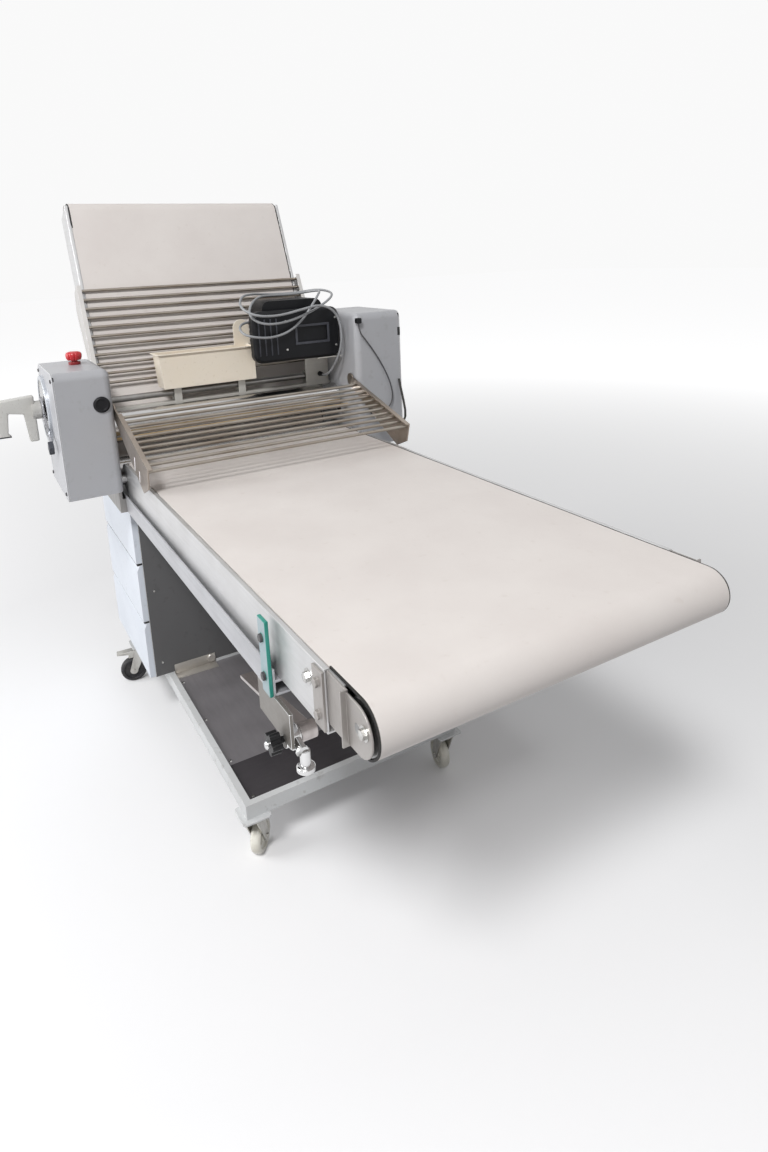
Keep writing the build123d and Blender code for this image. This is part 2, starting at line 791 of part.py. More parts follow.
save(bridge_cover, "bridge_cover")

with BuildPart() as front_scraper:
    with BuildSketch(side_plane(head_plane, 0)):
        with BuildLine():
            Polyline((scraper_x, scraper_z), (scraper_x + scraper_width, scraper_z + scraper_rise),
                     (scraper_x + scraper_width, scraper_z + scraper_rise + scraper_thick),
                     (scraper_x, scraper_z + scraper_thick), close=True)
        make_face()
    extrude(amount=housing_inner, both=True)
save(front_scraper, "front_scraper")

# Base frame: folded channel, open below, with a shelf ledge and a plate for each castor
frame_middle = (frame_front + frame_back) / 2
frame_span = frame_front - frame_back
shelf_front = frame_front - frame_rim
shelf_middle = (cabinet_front + shelf_front) / 2
shelf_length = shelf_front - cabinet_front
shelf_half = frame_half - frame_rim
shelf_low = frame_top - shelf_drop - shelf_thick
plate_bottom = castor_height - castor_plate_thick
castor_names = ("front_left", "front_right", "rear_left", "rear_right")
castor_angles = (140.0, 170.0, -100.0, 150.0)
castor_places = [(frame_front - castor_inset, -(frame_half - castor_front_in)),
                 (frame_front - castor_inset, frame_half - castor_front_in),
                 (frame_back + castor_rear_inset, -(frame_half + castor_rear_out)),
                 (frame_back + castor_rear_inset, frame_half + castor_rear_out)]
with BuildPart() as base_frame:
    with BuildSketch(Plane.XY.offset(castor_height)):
        with Locations((frame_middle, 0)):
            Rectangle(frame_span, 2 * frame_half)
            Rectangle(frame_span - 2 * frame_rim, 2 * shelf_half, mode=Mode.SUBTRACT)
        with Locations((cabinet_front - frame_tube / 2, 0)):
            Rectangle(frame_tube, 2 * shelf_half)
    extrude(amount=frame_tube)
    with BuildSketch(Plane.XY.offset(castor_height)):
        with Locations((frame_middle, 0)):
            Rectangle(frame_span - 2 * frame_wall, 2 * (frame_half - frame_wall))
            Rectangle(frame_span - 2 * (frame_rim - frame_wall), 2 * (shelf_half + frame_wall), mode=Mode.SUBTRACT)
    extrude(amount=frame_tube - frame_wall, mode=Mode.SUBTRACT)
    with BuildSketch(Plane.XY.offset(plate_bottom)):
        with Locations(*castor_places):
            RectangleRounded(castor_plate, castor_plate, castor_plate / 10)
            Circle(kingpin_radius + running, mode=Mode.SUBTRACT)
    extrude(amount=castor_plate_thick)
    with BuildSketch(Plane.XY.offset(shelf_low - shelf_ledge)):
        with Locations((shelf_middle, 0)):
            Rectangle(shelf_length, 2 * shelf_half)
            Rectangle(shelf_length - 2 * shelf_ledge, 2 * (shelf_half - shelf_ledge), mode=Mode.SUBTRACT)
    extrude(amount=shelf_ledge)
save(base_frame, "base_frame")

with BuildPart() as lower_shelf:
    with BuildSketch(Plane.XY.offset(shelf_low)):
        with Locations((shelf_middle, 0)):
            Rectangle(shelf_length, 2 * shelf_half)
    extrude(amount=shelf_thick)
save(lower_shelf, "lower_shelf")

# Table beams: box sections with an upstand lip on the outer side, which the tables rest on
with BuildPart() as table_beams:
    with BuildSketch(cross_plane(head_plane, beam_back)):
        for side in (-1, 1):
            with BuildLine():
                Polyline((side * beam_outer, beam_bottom), (side * beam_outer, beam_top + beam_lip),
                         (side * (beam_outer - beam_wall), beam_top + beam_lip),
                         (side * (beam_outer - beam_wall), beam_top), (side * (beam_outer - beam_width), beam_top),
                         (side * (beam_outer - beam_width), beam_bottom), close=True)
            make_face()
            with Locations((side * (beam_outer - beam_width / 2), (beam_top + beam_bottom) / 2)):
                Rectangle(beam_width - 2 * beam_wall, beam_height - 2 * beam_wall, mode=Mode.SUBTRACT)
    extrude(amount=beam_front - beam_back)
save(table_beams, "table_beams")

# Drawer cabinet: an open-fronted sheet box with runner ledges for three drawers
cabinet_middle = (cabinet_back + cabinet_front) / 2
cabinet_width = cabinet_front - cabinet_back
drawer_pitch = (beam_bottom - frame_top) / drawer_count
drawer_half = cabinet_width / 2 - cabinet_sheet - drawer_side
drawer_back = cabinet_half + gap_small
with BuildPart() as drawer_cabinet:
    with BuildSketch(Plane.XY.offset(frame_top)):
        with Locations((cabinet_middle, 0)):
            Rectangle(cabinet_width, 2 * cabinet_half)
    extrude(amount=beam_bottom - frame_top)
    with BuildSketch(Plane.XZ.offset(cabinet_half)):
        with Locations((cabinet_middle, (frame_top + beam_bottom) / 2)):
            Rectangle(cabinet_width - 2 * cabinet_sheet, beam_bottom - frame_top - 2 * cabinet_sheet)
    extrude(amount=cabinet_sheet - 2 * cabinet_half, mode=Mode.SUBTRACT)
    for step in range(drawer_count):
        with BuildSketch(Plane.XY.offset(frame_top + cabinet_sheet + step * drawer_pitch)):
            with Locations((cabinet_middle, 0)):
                with GridLocations(2 * drawer_half + drawer_side - runner_under, 1, 2, 1):
                    Rectangle(drawer_side + runner_under, 2 * (cabinet_half - cabinet_sheet))
        extrude(amount=runner_height)
save(drawer_cabinet, "drawer_cabinet")

for step, name in enumerate(("bottom_drawer", "middle_drawer", "top_drawer")):
    face_low = frame_top + step * drawer_pitch + drawer_gap / 2
    face_high = face_low + drawer_pitch - drawer_gap
    tray_low = frame_top + cabinet_sheet + step * drawer_pitch + runner_height + gap_small
    with BuildPart() as drawer:
        with BuildSketch(Plane.XY.offset(tray_low)):
            with Locations((cabinet_middle, drawer_depth / 2 - drawer_back)):
                Rectangle(2 * drawer_half, drawer_depth)
        extrude(amount=drawer_height)
        with BuildSketch(Plane.XY.offset(tray_low + drawer_sheet)):
            with Locations((cabinet_middle, drawer_depth / 2 - drawer_back)):
                Rectangle(2 * (drawer_half - drawer_sheet), drawer_depth - 2 * drawer_sheet)
        extrude(amount=drawer_height - drawer_sheet, mode=Mode.SUBTRACT)
        with BuildSketch(Plane.XZ.offset(drawer_back)):
            with Locations((cabinet_middle, (face_low + face_high) / 2)):
                Rectangle(cabinet_width, face_high - face_low)
        extrude(amount=drawer_face)
        with BuildSketch(Plane(origin=(cabinet_back, 0, 0), x_dir=(0, 1, 0), z_dir=(1, 0, 0))):
            with BuildLine():
                Polyline((-drawer_back - drawer_face, face_high), (-drawer_back - drawer_face / 2, face_high),
                         (-drawer_back - drawer_face, face_high - drawer_face), close=True)
            make_face()
        extrude(amount=cabinet_width, mode=Mode.SUBTRACT)
    save(drawer, name)

# Table stop: a painted flat bar bolted to the operator's beam, standing beside the front table
stop_bar_x = beam_front - stop_bar_width / 2
with BuildPart() as table_stop_bar:
    with BuildSketch(Plane.XZ.offset(beam_outer)):
        with Locations((stop_bar_x, (beam_bottom + stop_bar_top) / 2)):
            Rectangle(stop_bar_width, stop_bar_top - beam_bottom)
    extrude(amount=stop_bar_thick)
    with BuildSketch(Plane.XZ.offset(beam_outer + stop_bar_thick)):
        with Locations((stop_bar_x, beam_bottom + stop_bar_width), (stop_bar_x, stop_bar_top - stop_bar_width)):
            RegularPolygon(bolt_radius, 6)
    extrude(amount=bolt_height)
save(table_stop_bar, "table_stop_bar")

# Arm hanger: a wide plate under the beam with a round clamp that carries the swing arm's pin
with BuildPart() as arm_hanger:
    with BuildSketch(Plane.XZ.offset(beam_outer - hanger_thick)):
        with Locations((arm_x + (hanger_front - hanger_back) / 2, (beam_bottom + arm_z) / 2)):
            Rectangle(hanger_front + hanger_back, beam_bottom - arm_z)
        with Locations((arm_x, arm_z)):
            Circle(arm_boss)
    extrude(amount=hanger_thick)
    with BuildSketch(Plane.XZ.offset(beam_outer - hanger_thick)):
        with Locations((arm_x, arm_z)):
            Circle(arm_boss)
    extrude(amount=-clamp_length)
    with BuildSketch(Plane.XZ.offset(beam_outer - hanger_thick - clamp_length)):
        with Locations((arm_x, arm_z)):
            Circle(arm_pin)
    extrude(amount=-arm_width - gap_small)
    with BuildSketch(Plane.XZ.offset(beam_outer)):
        with Locations((arm_x, arm_z)):
            Circle(spindle_radius + running)
    extrude(amount=-hanger_thick - clamp_length / 2, mode=Mode.SUBTRACT)
save(arm_hanger, "arm_hanger")

arm_turn = radians(arm_dip)
arm_face = beam_outer - hanger_thick - clamp_length - gap_small
arm_plane = Plane(origin=(arm_x, -arm_face, arm_z), x_dir=(-cos(arm_turn), 0, -sin(arm_turn)), z_dir=(0, 1, 0))
with BuildPart() as swing_arm:
    with BuildSketch(arm_plane):
        Circle(arm_boss)
        with Locations((arm_length / 2, 0)):
            Rectangle(arm_length, arm_thick)
        Circle(arm_pin + running, mode=Mode.SUBTRACT)
    extrude(amount=arm_width)
save(swing_arm, "swing_arm")

with BuildPart() as clamp_knob:
    with BuildSketch(Plane.XZ.offset(beam_outer + gap_clear + hanger_thick)):
        with Locations((arm_x, arm_z)):
            Circle(knob_radius * 0.8)
            with PolarLocations(knob_radius * 0.75, knob_lobes):
                Circle(knob_radius * 0.35)
    extrude(amount=knob_height)
    with BuildSketch(Plane.XZ.offset(beam_outer + gap_clear + hanger_thick)):
        with Locations((arm_x, arm_z)):
            Circle(spindle_radius)
    extrude(amount=-gap_clear - 2 * hanger_thick - clamp_length / 2 + gap_clear)
save(clamp_knob, "clamp_knob")


# Castors: a swivel fork on a kingpin under each corner plate, and a wheel on its axle
def castor_plane(place, angle):
    turn = radians(angle)
    return Plane(origin=(place[0], place[1], 0), x_dir=(cos(turn), sin(turn), 0), z_dir=(0, 0, 1))


head_top = plate_bottom - gap_small
brake_pin_z = head_top - fork_head - brake_pin_drop
cheek_inner = wheel_width / 2 + fork_gap


def castor_fork(plane, braked, name):
    with BuildPart() as fork:
        with BuildSketch(plane.offset(head_top - fork_head)):
            Circle(fork_radius)
        extrude(amount=fork_head)
        with BuildSketch(plane.offset(head_top)):
            Circle(kingpin_radius)
        extrude(amount=castor_plate_thick + gap_small)
        for side in (-1, 1):
            with BuildSketch(side_plane(plane, side * cheek_inner)):
                with BuildLine():
                    Polyline((-fork_radius * 0.8, head_top - fork_head), (fork_radius * 0.8, head_top - fork_head),
                             (castor_trail + fork_end, wheel_radius), (castor_trail - fork_end, wheel_radius),
                             close=True)
                make_face()
                with Locations((castor_trail, wheel_radius)):
                    Circle(fork_end)
                if braked:
                    with Locations((brake_pin_x, brake_pin_z)):
                        Circle(brake_pin + running, mode=Mode.SUBTRACT)
            extrude(amount=-side * fork_sheet)
        with BuildSketch(side_plane(plane, 0)):
            with Locations((castor_trail, wheel_radius)):
                Circle(axle_radius)
        extrude(amount=cheek_inner + 2 * fork_sheet, both=True)
    save(fork, name)


def castor_wheel(plane, name):
    with BuildPart() as wheel:
        with BuildSketch(side_plane(plane, 0)):
            with Locations((castor_trail, wheel_radius)):
                Circle(wheel_radius)
        extrude(amount=wheel_width / 2, both=True)
        fillet(wheel.edges().filter_by(GeomType.CIRCLE), wheel_round)
        for side in (-1, 1):
            with BuildSketch(side_plane(plane, side * wheel_width / 2)):
                with Locations((castor_trail, wheel_radius)):
                    Circle(wheel_radius * 0.72)
                    Circle(wheel_radius * 0.32, mode=Mode.SUBTRACT)
            extrude(amount=side * wheel_dish, mode=Mode.SUBTRACT)
        with BuildSketch(side_plane(plane, 0)):
            with Locations((castor_trail, wheel_radius)):
                Circle(axle_radius + running)
        extrude(amount=wheel_width, both=True, mode=Mode.SUBTRACT)
    save(wheel, name)


for name, place, angle in zip(castor_names, castor_places, castor_angles):
    castor_fork(castor_plane(place, angle), name == "rear_left", f"{name}_fork")
    castor_wheel(castor_plane(place, angle), f"{name}_wheel")

# Brake: a pressed lever hinged between the rear left fork's cheeks, with a shoe just above the tyre
brake_plane = castor_plane(castor_places[2], castor_angles[2])
shoe_low = 2 * wheel_radius + brake_pad_gap
with BuildPart() as brake_lever:
    with BuildSketch(side_plane(brake_plane, 0)):
        with BuildLine():
            Polyline((brake_pin_x, brake_pin_z), (castor_trail, shoe_low), (castor_trail + fork_end, shoe_low),
                     (castor_trail + fork_end, brake_pin_z - brake_thick), (brake_reach, brake_pin_z),
                     (brake_reach, brake_pin_z + brake_thick), (brake_pin_x, brake_pin_z + 2 * brake_thick),
                     close=True)
        make_face()
        with Locations((brake_pin_x, brake_pin_z)):
            Circle(2 * brake_thick)
    extrude(amount=cheek_inner - gap_clear, both=True)
    with BuildSketch(side_plane(brake_plane, 0)):
        with Locations((brake_pin_x, brake_pin_z)):
            Circle(brake_pin)
    extrude(amount=cheek_inner + fork_sheet, both=True)
save(brake_lever, "brake_lever")

# Flour tray: a folded open tray standing on the saddles, one end leaning out, with a rim and a hanging tab
tray_front = tray_x + tray_depth / 2
tray_low = saddle_top + gap_small
tray_top = tray_low + tray_height
tray_plane = Plane(origin=(tray_front, 0, 0), x_dir=(0, 1, 0), z_dir=(1, 0, 0))
with BuildPart() as flour_tray:
    with BuildSketch(tray_plane):
        with BuildLine():
            Polyline((tray_y_low, tray_low), (tray_y_high, tray_low), (tray_y_high, tray_top),
                     (tray_y_low - tray_lean, tray_top), close=True)
        make_face()
    extrude(amount=-tray_depth)
    with BuildSketch(Plane.XY.offset(tray_top - tray_wall)):
        with Locations((tray_x, (tray_y_low - tray_lean + tray_y_high) / 2)):
            Rectangle(tray_depth + 2 * tray_rim, tray_y_high - tray_y_low + tray_lean + 2 * tray_rim)
    extrude(amount=tray_wall)
    inset_lean = tray_lean * tray_wall / tray_height
    with BuildSketch(tray_plane.offset(-tray_wall)):
        with BuildLine():
            Polyline((tray_y_low + tray_wall - inset_lean, tray_low + tray_wall),
                     (tray_y_high - tray_wall, tray_low + tray_wall), (tray_y_high - tray_wall, tray_top),
                     (tray_y_low - tray_lean + tray_wall, tray_top), close=True)
        make_face()
    extrude(amount=2 * tray_wall - tray_depth, mode=Mode.SUBTRACT)
    with BuildSketch(tray_plane.offset(tray_wall - tray_depth)):
        with Locations((tray_y_high + tab_past - tab_width / 2, tray_top + (tab_height - tab_width / 2) / 2)):
            Rectangle(tab_width, tab_height - tab_width / 2)
        with Locations((tray_y_high + tab_past - tab_width / 2, tray_top + tab_height - tab_width / 2)):
            Circle(tab_width / 2)
    extrude(amount=-tray_wall)
save(flour_tray, "flour_tray")

# Foot switch, put away on its bracket with its underside to the front: base, toe hood and treadle
switch_middle = switch_low + switch_height / 2
switch_plane = Plane(origin=(switch_back, switch_y, 0), x_dir=(0, 1, 0), z_dir=(1, 0, 0))
with BuildPart() as foot_switch_base:
    with BuildSketch(switch_plane):
        with Locations((0, switch_middle)):
            RectangleRounded(switch_length, switch_height, switch_round)
    extrude(amount=switch_thick)
    chamfer(foot_switch_base.faces().sort_by(Axis.X)[-1].edges(), switch_thick / 4)
    with BuildSketch(switch_plane.offset(switch_thick)):
        with Locations((switch_length / 6, switch_middle)):
            Rectangle(recess_length, recess_height)
    extrude(amount=-recess_depth, mode=Mode.SUBTRACT)
save(foot_switch_base, "foot_switch_base")

with BuildPart() as foot_switch_hood:
    with BuildSketch(switch_plane) as outline:
        with Locations((0, (switch_low + hood_top) / 2)):
            Rectangle(hood_length, hood_top - switch_low)
        fillet(outline.vertices().group_by(Axis.Y)[-1], hood_round)
    extrude(amount=-hood_depth)
    with BuildSketch(switch_plane.offset(-hood_wall)) as outline:
        with Locations((0, (switch_low + hood_top - hood_wall) / 2)):
            Rectangle(hood_length - 2 * hood_wall, hood_top - hood_wall - switch_low)
        fillet(outline.vertices().group_by(Axis.Y)[-1], hood_round - hood_wall)
    extrude(amount=2 * hood_wall - hood_depth, mode=Mode.SUBTRACT)
    with BuildSketch(side_plane(head_plane, switch_y)):
        with Locations((treadle_x, hood_top - treadle_drop)):
            Circle(treadle_pin + running)
    extrude(amount=hood_length / 2, both=True, mode=Mode.SUBTRACT)
save(foot_switch_hood, "foot_switch_hood")

treadle_turn = radians(treadle_lean)
treadle_plane = Plane(origin=(treadle_x, switch_y, hood_top - treadle_drop),
                      x_dir=(-sin(treadle_turn), 0, -cos(treadle_turn)), z_dir=(0, -1, 0))
with BuildPart() as treadle:
    with BuildSketch(treadle_plane):
        Circle(2 * treadle_pin)
        with Locations((treadle_length / 2, 0)):
            Rectangle(treadle_length, treadle_thick)
    extrude(amount=hood_length / 2 - hood_wall - gap_clear, both=True)
    with BuildSketch(treadle_plane):
        Circle(treadle_pin)
    extrude(amount=hood_length / 2, both=True)
save(treadle, "treadle")

# Cord glands: tapered reliefs on the hood and the bridge, and two clips on the right housing for the thin lead
gland_small = cord_diameter / 2 + gap_clear
hood_gland = (0.0, switch_y - hood_length / 2, 1130.0)
bridge_gland = (bridge_front, 310.0, 948.0)
upper_clip = (housing_half, 352.0, 1120.0)
lower_clip = (housing_half, 391.0, 846.0)
clip_reach = 14.0
with BuildPart() as cord_glands:
    with BuildSketch(Plane(origin=hood_gland, z_dir=(0, -1, 0))):
        Circle(gland_radius)
    with BuildSketch(Plane(origin=hood_gland, z_dir=(0, -1, 0)).offset(gland_length)):
        Circle(gland_small)
    loft()
    with BuildSketch(Plane(origin=bridge_gland, z_dir=(1, 0, 0))):
        Circle(gland_radius)
    with BuildSketch(Plane(origin=bridge_gland, z_dir=(1, 0, 0)).offset(gland_length)):
        Circle(gland_small)
    loft()
    for clip in (upper_clip, lower_clip):
        with BuildSketch(Plane(origin=clip, x_dir=(0, 1, 0), z_dir=(1, 0, 0))):
            RectangleRounded(4 * thin_cord_diameter, 4 * thin_cord_diameter, thin_cord_diameter)
        extrude(amount=clip_reach)
save(cord_glands, "cord_glands")


# Cords: the foot switch's lead in loose loops over the pedal, and the thin lead hanging on the right housing
def cord(points, diameter, name):
    corners = [Vector(*point) for point in points]
    radii = []
    for before, corner, after in zip(corners, corners[1:], corners[2:]):
        half_turn = radians((corner - before).get_angle(after - corner)) / 2
        radii.append(0.45 * min((corner - before).length, (after - corner).length) / tan(half_turn))
    with BuildPart() as tube:
        with BuildLine() as route:
            FilletPolyline(*points, radius=radii)
        with BuildSketch(Plane(origin=points[0], z_dir=corners[1] - corners[0])):
            Circle(diameter / 2)
        sweep()
    length = route.wire().length
    steps = int(length / (diameter / 2))
    along = [tuple(route.wire() @ (step / steps)) for step in range(steps + 1)]
    apart = int(4 * diameter / (length / steps))
    gap = min(dist(along[i], along[j]) for i in range(steps) for j in range(i + apart, steps)) - diameter
    print(name, "length", round(length), "volume ratio",
          round(tube.part.volume / (length * pi * diameter ** 2 / 4), 4),
          "least radius", round(min(radii), 1), "least self-gap", round(gap, 1))
    print(name, "radii", [round(radius) for radius in radii])
    save(tube, name)


hood_exit = (hood_gland[0], hood_gland[1] - gland_length, hood_gland[2])
bridge_exit = (bridge_gland[0] + gland_length, bridge_gland[1], bridge_gland[2])
cord([hood_exit, (hood_gland[0], 58, hood_gland[2]), (26, 33, 1118), (60, 33, 1102), (75, 62, 1092),
      (68, 112, 1086), (64, 166, 1096), (63, 214, 1128), (60, 250, 1170), (36, 284, 1200),
      (0, 304, 1206), (-34, 292, 1204), (-46, 240, 1198), (-42, 176, 1198), (-20, 116, 1200),
      (22, 74, 1180), (62, 52, 1150), (84, 84, 1126), (79, 150, 1126), (77, 218, 1144),
      (74, 282, 1172), (44, 326, 1192), (-6, 340, 1202), (-50, 318, 1208), (-70, 258, 1200),
      (-68, 184, 1200), (-48, 112, 1206), (0, 58, 1206), (56, 28, 1178), (94, 58, 1152),
      (94, 128, 1148), (91, 198, 1160), (89, 262, 1172), (88, 310, 1148), (88, 326, 1098),
      (86, 324, 1046), (68, 316, 1002), (32, 311, 966), (0, bridge_gland[1], bridge_gland[2]), bridge_exit],
     cord_diameter, "foot_switch_cord")
clip_half = 2 * thin_cord_diameter
lead_x = housing_half + clip_reach - 1.5 * thin_cord_diameter
cord([(lead_x, upper_clip[1], upper_clip[2] - clip_half), (lead_x, upper_clip[1], 1090), (lead_x, 376, 1060),
      (lead_x, 406, 1018), (lead_x, 433, 972), (lead_x, 453, 926), (lead_x, 460, 882), (lead_x, 446, 852),
      (lead_x, 420, lower_clip[2]), (lead_x, lower_clip[1] + clip_half, lower_clip[2])],
     thin_cord_diameter, "guard_lead")
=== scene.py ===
"""Looks of a floor-standing dough sheeter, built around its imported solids.

Metres, +Z up, floor at z = 0, +X along the front table and -Y towards the operator.
"""
import json
import math

import bmesh
import bpy
from mathutils import Matrix, Vector


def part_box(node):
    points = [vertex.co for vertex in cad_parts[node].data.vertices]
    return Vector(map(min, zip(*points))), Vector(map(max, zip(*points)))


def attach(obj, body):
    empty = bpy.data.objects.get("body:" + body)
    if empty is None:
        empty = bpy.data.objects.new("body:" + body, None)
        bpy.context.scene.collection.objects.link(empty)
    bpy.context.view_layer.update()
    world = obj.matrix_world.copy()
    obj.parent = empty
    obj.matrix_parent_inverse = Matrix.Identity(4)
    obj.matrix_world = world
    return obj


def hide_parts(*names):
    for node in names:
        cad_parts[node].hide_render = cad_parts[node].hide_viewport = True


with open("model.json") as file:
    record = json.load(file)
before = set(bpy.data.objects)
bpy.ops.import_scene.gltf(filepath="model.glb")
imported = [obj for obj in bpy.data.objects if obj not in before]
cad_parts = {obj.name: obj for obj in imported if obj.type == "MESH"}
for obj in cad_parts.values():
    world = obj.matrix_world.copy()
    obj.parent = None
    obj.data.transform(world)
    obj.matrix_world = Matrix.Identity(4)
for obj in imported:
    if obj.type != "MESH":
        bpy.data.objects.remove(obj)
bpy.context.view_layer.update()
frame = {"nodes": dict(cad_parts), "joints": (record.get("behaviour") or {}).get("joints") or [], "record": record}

# Camera: stands off the free end of the front table on the operator's side, at about chest height,
# and looks down along the table with the photograph's wide lens.
photo_wide, photo_high = 768, 1152
focal_px, middle_x, middle_y = 736.02, 384.38, 428.3
sensor = 36
stands_at = (2.0301, -0.6732, 1.3106)
yaw, pitch, roll = 0.5276, 0.235, 0.0404
forward = Vector((-math.cos(yaw) * math.cos(pitch), math.sin(yaw) * math.cos(pitch), -math.sin(pitch)))
level = Vector((math.sin(yaw), math.cos(yaw), 0))
plumb = forward.cross(level)
right = math.cos(roll) * level + math.sin(roll) * plumb
down = math.cos(roll) * plumb - math.sin(roll) * level
camera = bpy.data.objects.new("camera", bpy.data.cameras.new("camera"))
bpy.context.scene.collection.objects.link(camera)
aimed = Matrix((right, -down, -forward)).transposed().to_4x4()
camera.matrix_world = Matrix.Translation(stands_at) @ aimed
camera.data.sensor_width = sensor
camera.data.lens = focal_px / photo_high * sensor
camera.data.shift_x = (photo_wide / 2 - middle_x) / photo_high
camera.data.shift_y = (middle_y - photo_high / 2) / photo_high
camera.data.clip_end = 60
bpy.context.scene.camera = camera
bpy.context.scene.view_settings.view_transform = "Standard"


# Floor and light: a plain pale floor that runs into a white surround, a lamp overhead that throws the soft
# shadow beyond the table, and a broad one on the operator's side, as in a bright showroom.
def wired(tree, kind, sources=None, **settings):
    """A new node with its settings, fed by sources: input name or number to a value or an output."""
    node = tree.nodes.new(kind)
    for key, value in settings.items():
        setattr(node, key, value)
    for key, value in (sources or {}).items():
        if isinstance(value, bpy.types.NodeSocket):
            tree.links.new(value, node.inputs[key])
        else:
            node.inputs[key].default_value = value
    return node


def maths(tree, operation, *values, clamp=False):
    """The result of one math node."""
    return wired(tree, "ShaderNodeMath", dict(enumerate(values)), operation=operation,
                 use_clamp=clamp).outputs[0]


def ranged(tree, value, low, high, to_low=0.0, to_high=1.0):
    """A value spread from the range low to high over the range to_low to to_high, and held at its ends."""
    return wired(tree, "ShaderNodeMapRange", {"Value": value, "From Min": low, "From Max": high,
                                              "To Min": to_low, "To Max": to_high}).outputs[0]


def blended(tree, share, first, second):
    """The first colour, with a share of the second."""
    return wired(tree, "ShaderNodeMix", {0: share, 6: first, 7: second}, data_type="RGBA").outputs[2]


def seen_share(tree):
    """1 on rays that show the surround, straight or in metal and glass, and 0 on rays that light by it."""
    rays = wired(tree, "ShaderNodeLightPath").outputs
    mirrored = maths(tree, "MAXIMUM", rays["Is Camera Ray"], rays["Is Glossy Ray"])
    return maths(tree, "MAXIMUM", mirrored, rays["Is Transmission Ray"])


reach = 30
floor_mesh = bpy.data.meshes.new("floor")
floor_mesh.from_pydata([(-reach, -reach, 0), (reach, -reach, 0), (reach, reach, 0), (-reach, reach, 0)], [],
                       [(0, 1, 2, 3)])
floor = bpy.data.objects.new("floor", floor_mesh)
bpy.context.scene.collection.objects.link(floor)
floor_paint = bpy.data.materials.new("floor_paint")
floor_paint.use_nodes = True
wires = floor_paint.node_tree
wires.nodes.clear()
seen = seen_share(wires)
floor_at = wired(wires, "ShaderNodeTexCoord").outputs["Object"]
away = wired(wires, "ShaderNodeVectorMath", {0: floor_at}, operation="LENGTH").outputs["Value"]
fade = ranged(wires, away, 1.2, 6.0, 0.05, 0.69)
tint = blended(wires, seen, (0.55, 0.55, 0.56, 1), (0.86, 0.86, 0.87, 1))
matt = wired(wires, "ShaderNodeBsdfDiffuse", {"Color": tint}).outputs[0]
glow = wired(wires, "ShaderNodeEmission", {"Strength": maths(wires, "MULTIPLY", fade, seen)}).outputs[0]
lit_floor = wired(wires, "ShaderNodeAddShader", {0: matt, 1: glow}).outputs[0]
wired(wires, "ShaderNodeOutputMaterial", {"Surface": lit_floor})
floor_mesh.materials.append(floor_paint)

surround = bpy.data.worlds.new("surround")
surround.use_nodes = True
bpy.context.scene.world = surround
wires = surround.node_tree
sky = wires.nodes["Background"]
sky.inputs["Color"].default_value = (1, 1, 1, 1)
sky_lights, sky_shows = 0.31, 0.95
sky_level = ranged(wires, seen_share(wires), 0.0, 1.0, sky_lights, sky_shows)
wires.links.new(sky_level, sky.inputs["Strength"])
for name, place, aim, size, power in (("lamp_above", (3.1, -2.4, 4.6), (0.5, 0, 0.5), 1.1, 190),
                                      ("lamp_operator", (-1.0, -4.2, 2.2), (0.1, 0, 0.7), 2.6, 128)):
    lamp = bpy.data.objects.new(name, bpy.data.lights.new(name, "AREA"))
    bpy.context.scene.collection.objects.link(lamp)
    lamp.data.size = size
    lamp.data.energy = power
    lamp.location = place
    lamp.rotation_mode = "QUATERNION"
    lamp.rotation_quaternion = (Vector(aim) - Vector(place)).to_track_quat("-Z", "Y")


# Leads: the foot switch's grey sheathed lead lies in loose loops over the pedal and goes into the bridge, and
# a thin dark lead hangs between two clips on the right housing. Both are round plastic-sheathed cable.
def effect_group(name, inputs, outputs):
    """An empty shader group with named sockets, and its two end nodes."""
    tree = bpy.data.node_groups.new(name, "ShaderNodeTree")
    for label, kind in inputs:
        tree.interface.new_socket(label, in_out="INPUT", socket_type="NodeSocket" + kind)
    for label, kind in outputs:
        tree.interface.new_socket(label, in_out="OUTPUT", socket_type="NodeSocket" + kind)
    return tree, tree.nodes.new("NodeGroupInput"), tree.nodes.new("NodeGroupOutput")


def noise(tree, at, scale, detail, roughness=0.5):
    """Cloudy noise over the given coordinates."""
    return wired(tree, "ShaderNodeTexNoise", {"Vector": at, "Scale": scale, "Detail": detail,
                                              "Roughness": roughness}).outputs[0]


# Film with cloudy grime, specks and a fine grain, for paint, plastic and rubber
film_marks, given, result = effect_group(
    "film_marks",
    [("Colour", "Color"), ("Grime", "Color"), ("Amount", "Float"), ("Scale", "Float"), ("Roughness", "Float"),
     ("Spread", "Float"), ("Grain", "Float")],
    [("Colour", "Color"), ("Roughness", "Float"), ("Height", "Float")])
at = wired(film_marks, "ShaderNodeTexCoord").outputs["Object"]
cloud = noise(film_marks, at, given.outputs["Scale"], 6.0, 0.62)
fine_scale = maths(film_marks, "MULTIPLY", given.outputs["Scale"], 11.0)
speck = noise(film_marks, at, fine_scale, 2.0)
marks = maths(film_marks, "MAXIMUM", ranged(film_marks, cloud, 0.46, 0.78),
              ranged(film_marks, speck, 0.60, 0.74))
share = maths(film_marks, "MULTIPLY", marks, given.outputs["Amount"])
film = blended(film_marks, share, given.outputs["Colour"], given.outputs["Grime"])
even = ranged(film_marks, cloud, 0.3, 0.7, 0.95, 1.04)
shaded = wired(film_marks, "ShaderNodeHueSaturation", {"Color": film, "Value": even}).outputs[0]
swing = ranged(film_marks, cloud, 0.3, 0.7, -1.0, 1.0)
rough = maths(film_marks, "MULTIPLY_ADD", swing, given.outputs["Spread"], given.outputs["Roughness"])
grain = noise(film_marks, at, given.outputs["Grain"], 3.0)
for label, source in (("Colour", shaded), ("Roughness", rough), ("Height", grain)):
    film_marks.links.new(source, result.inputs[label])


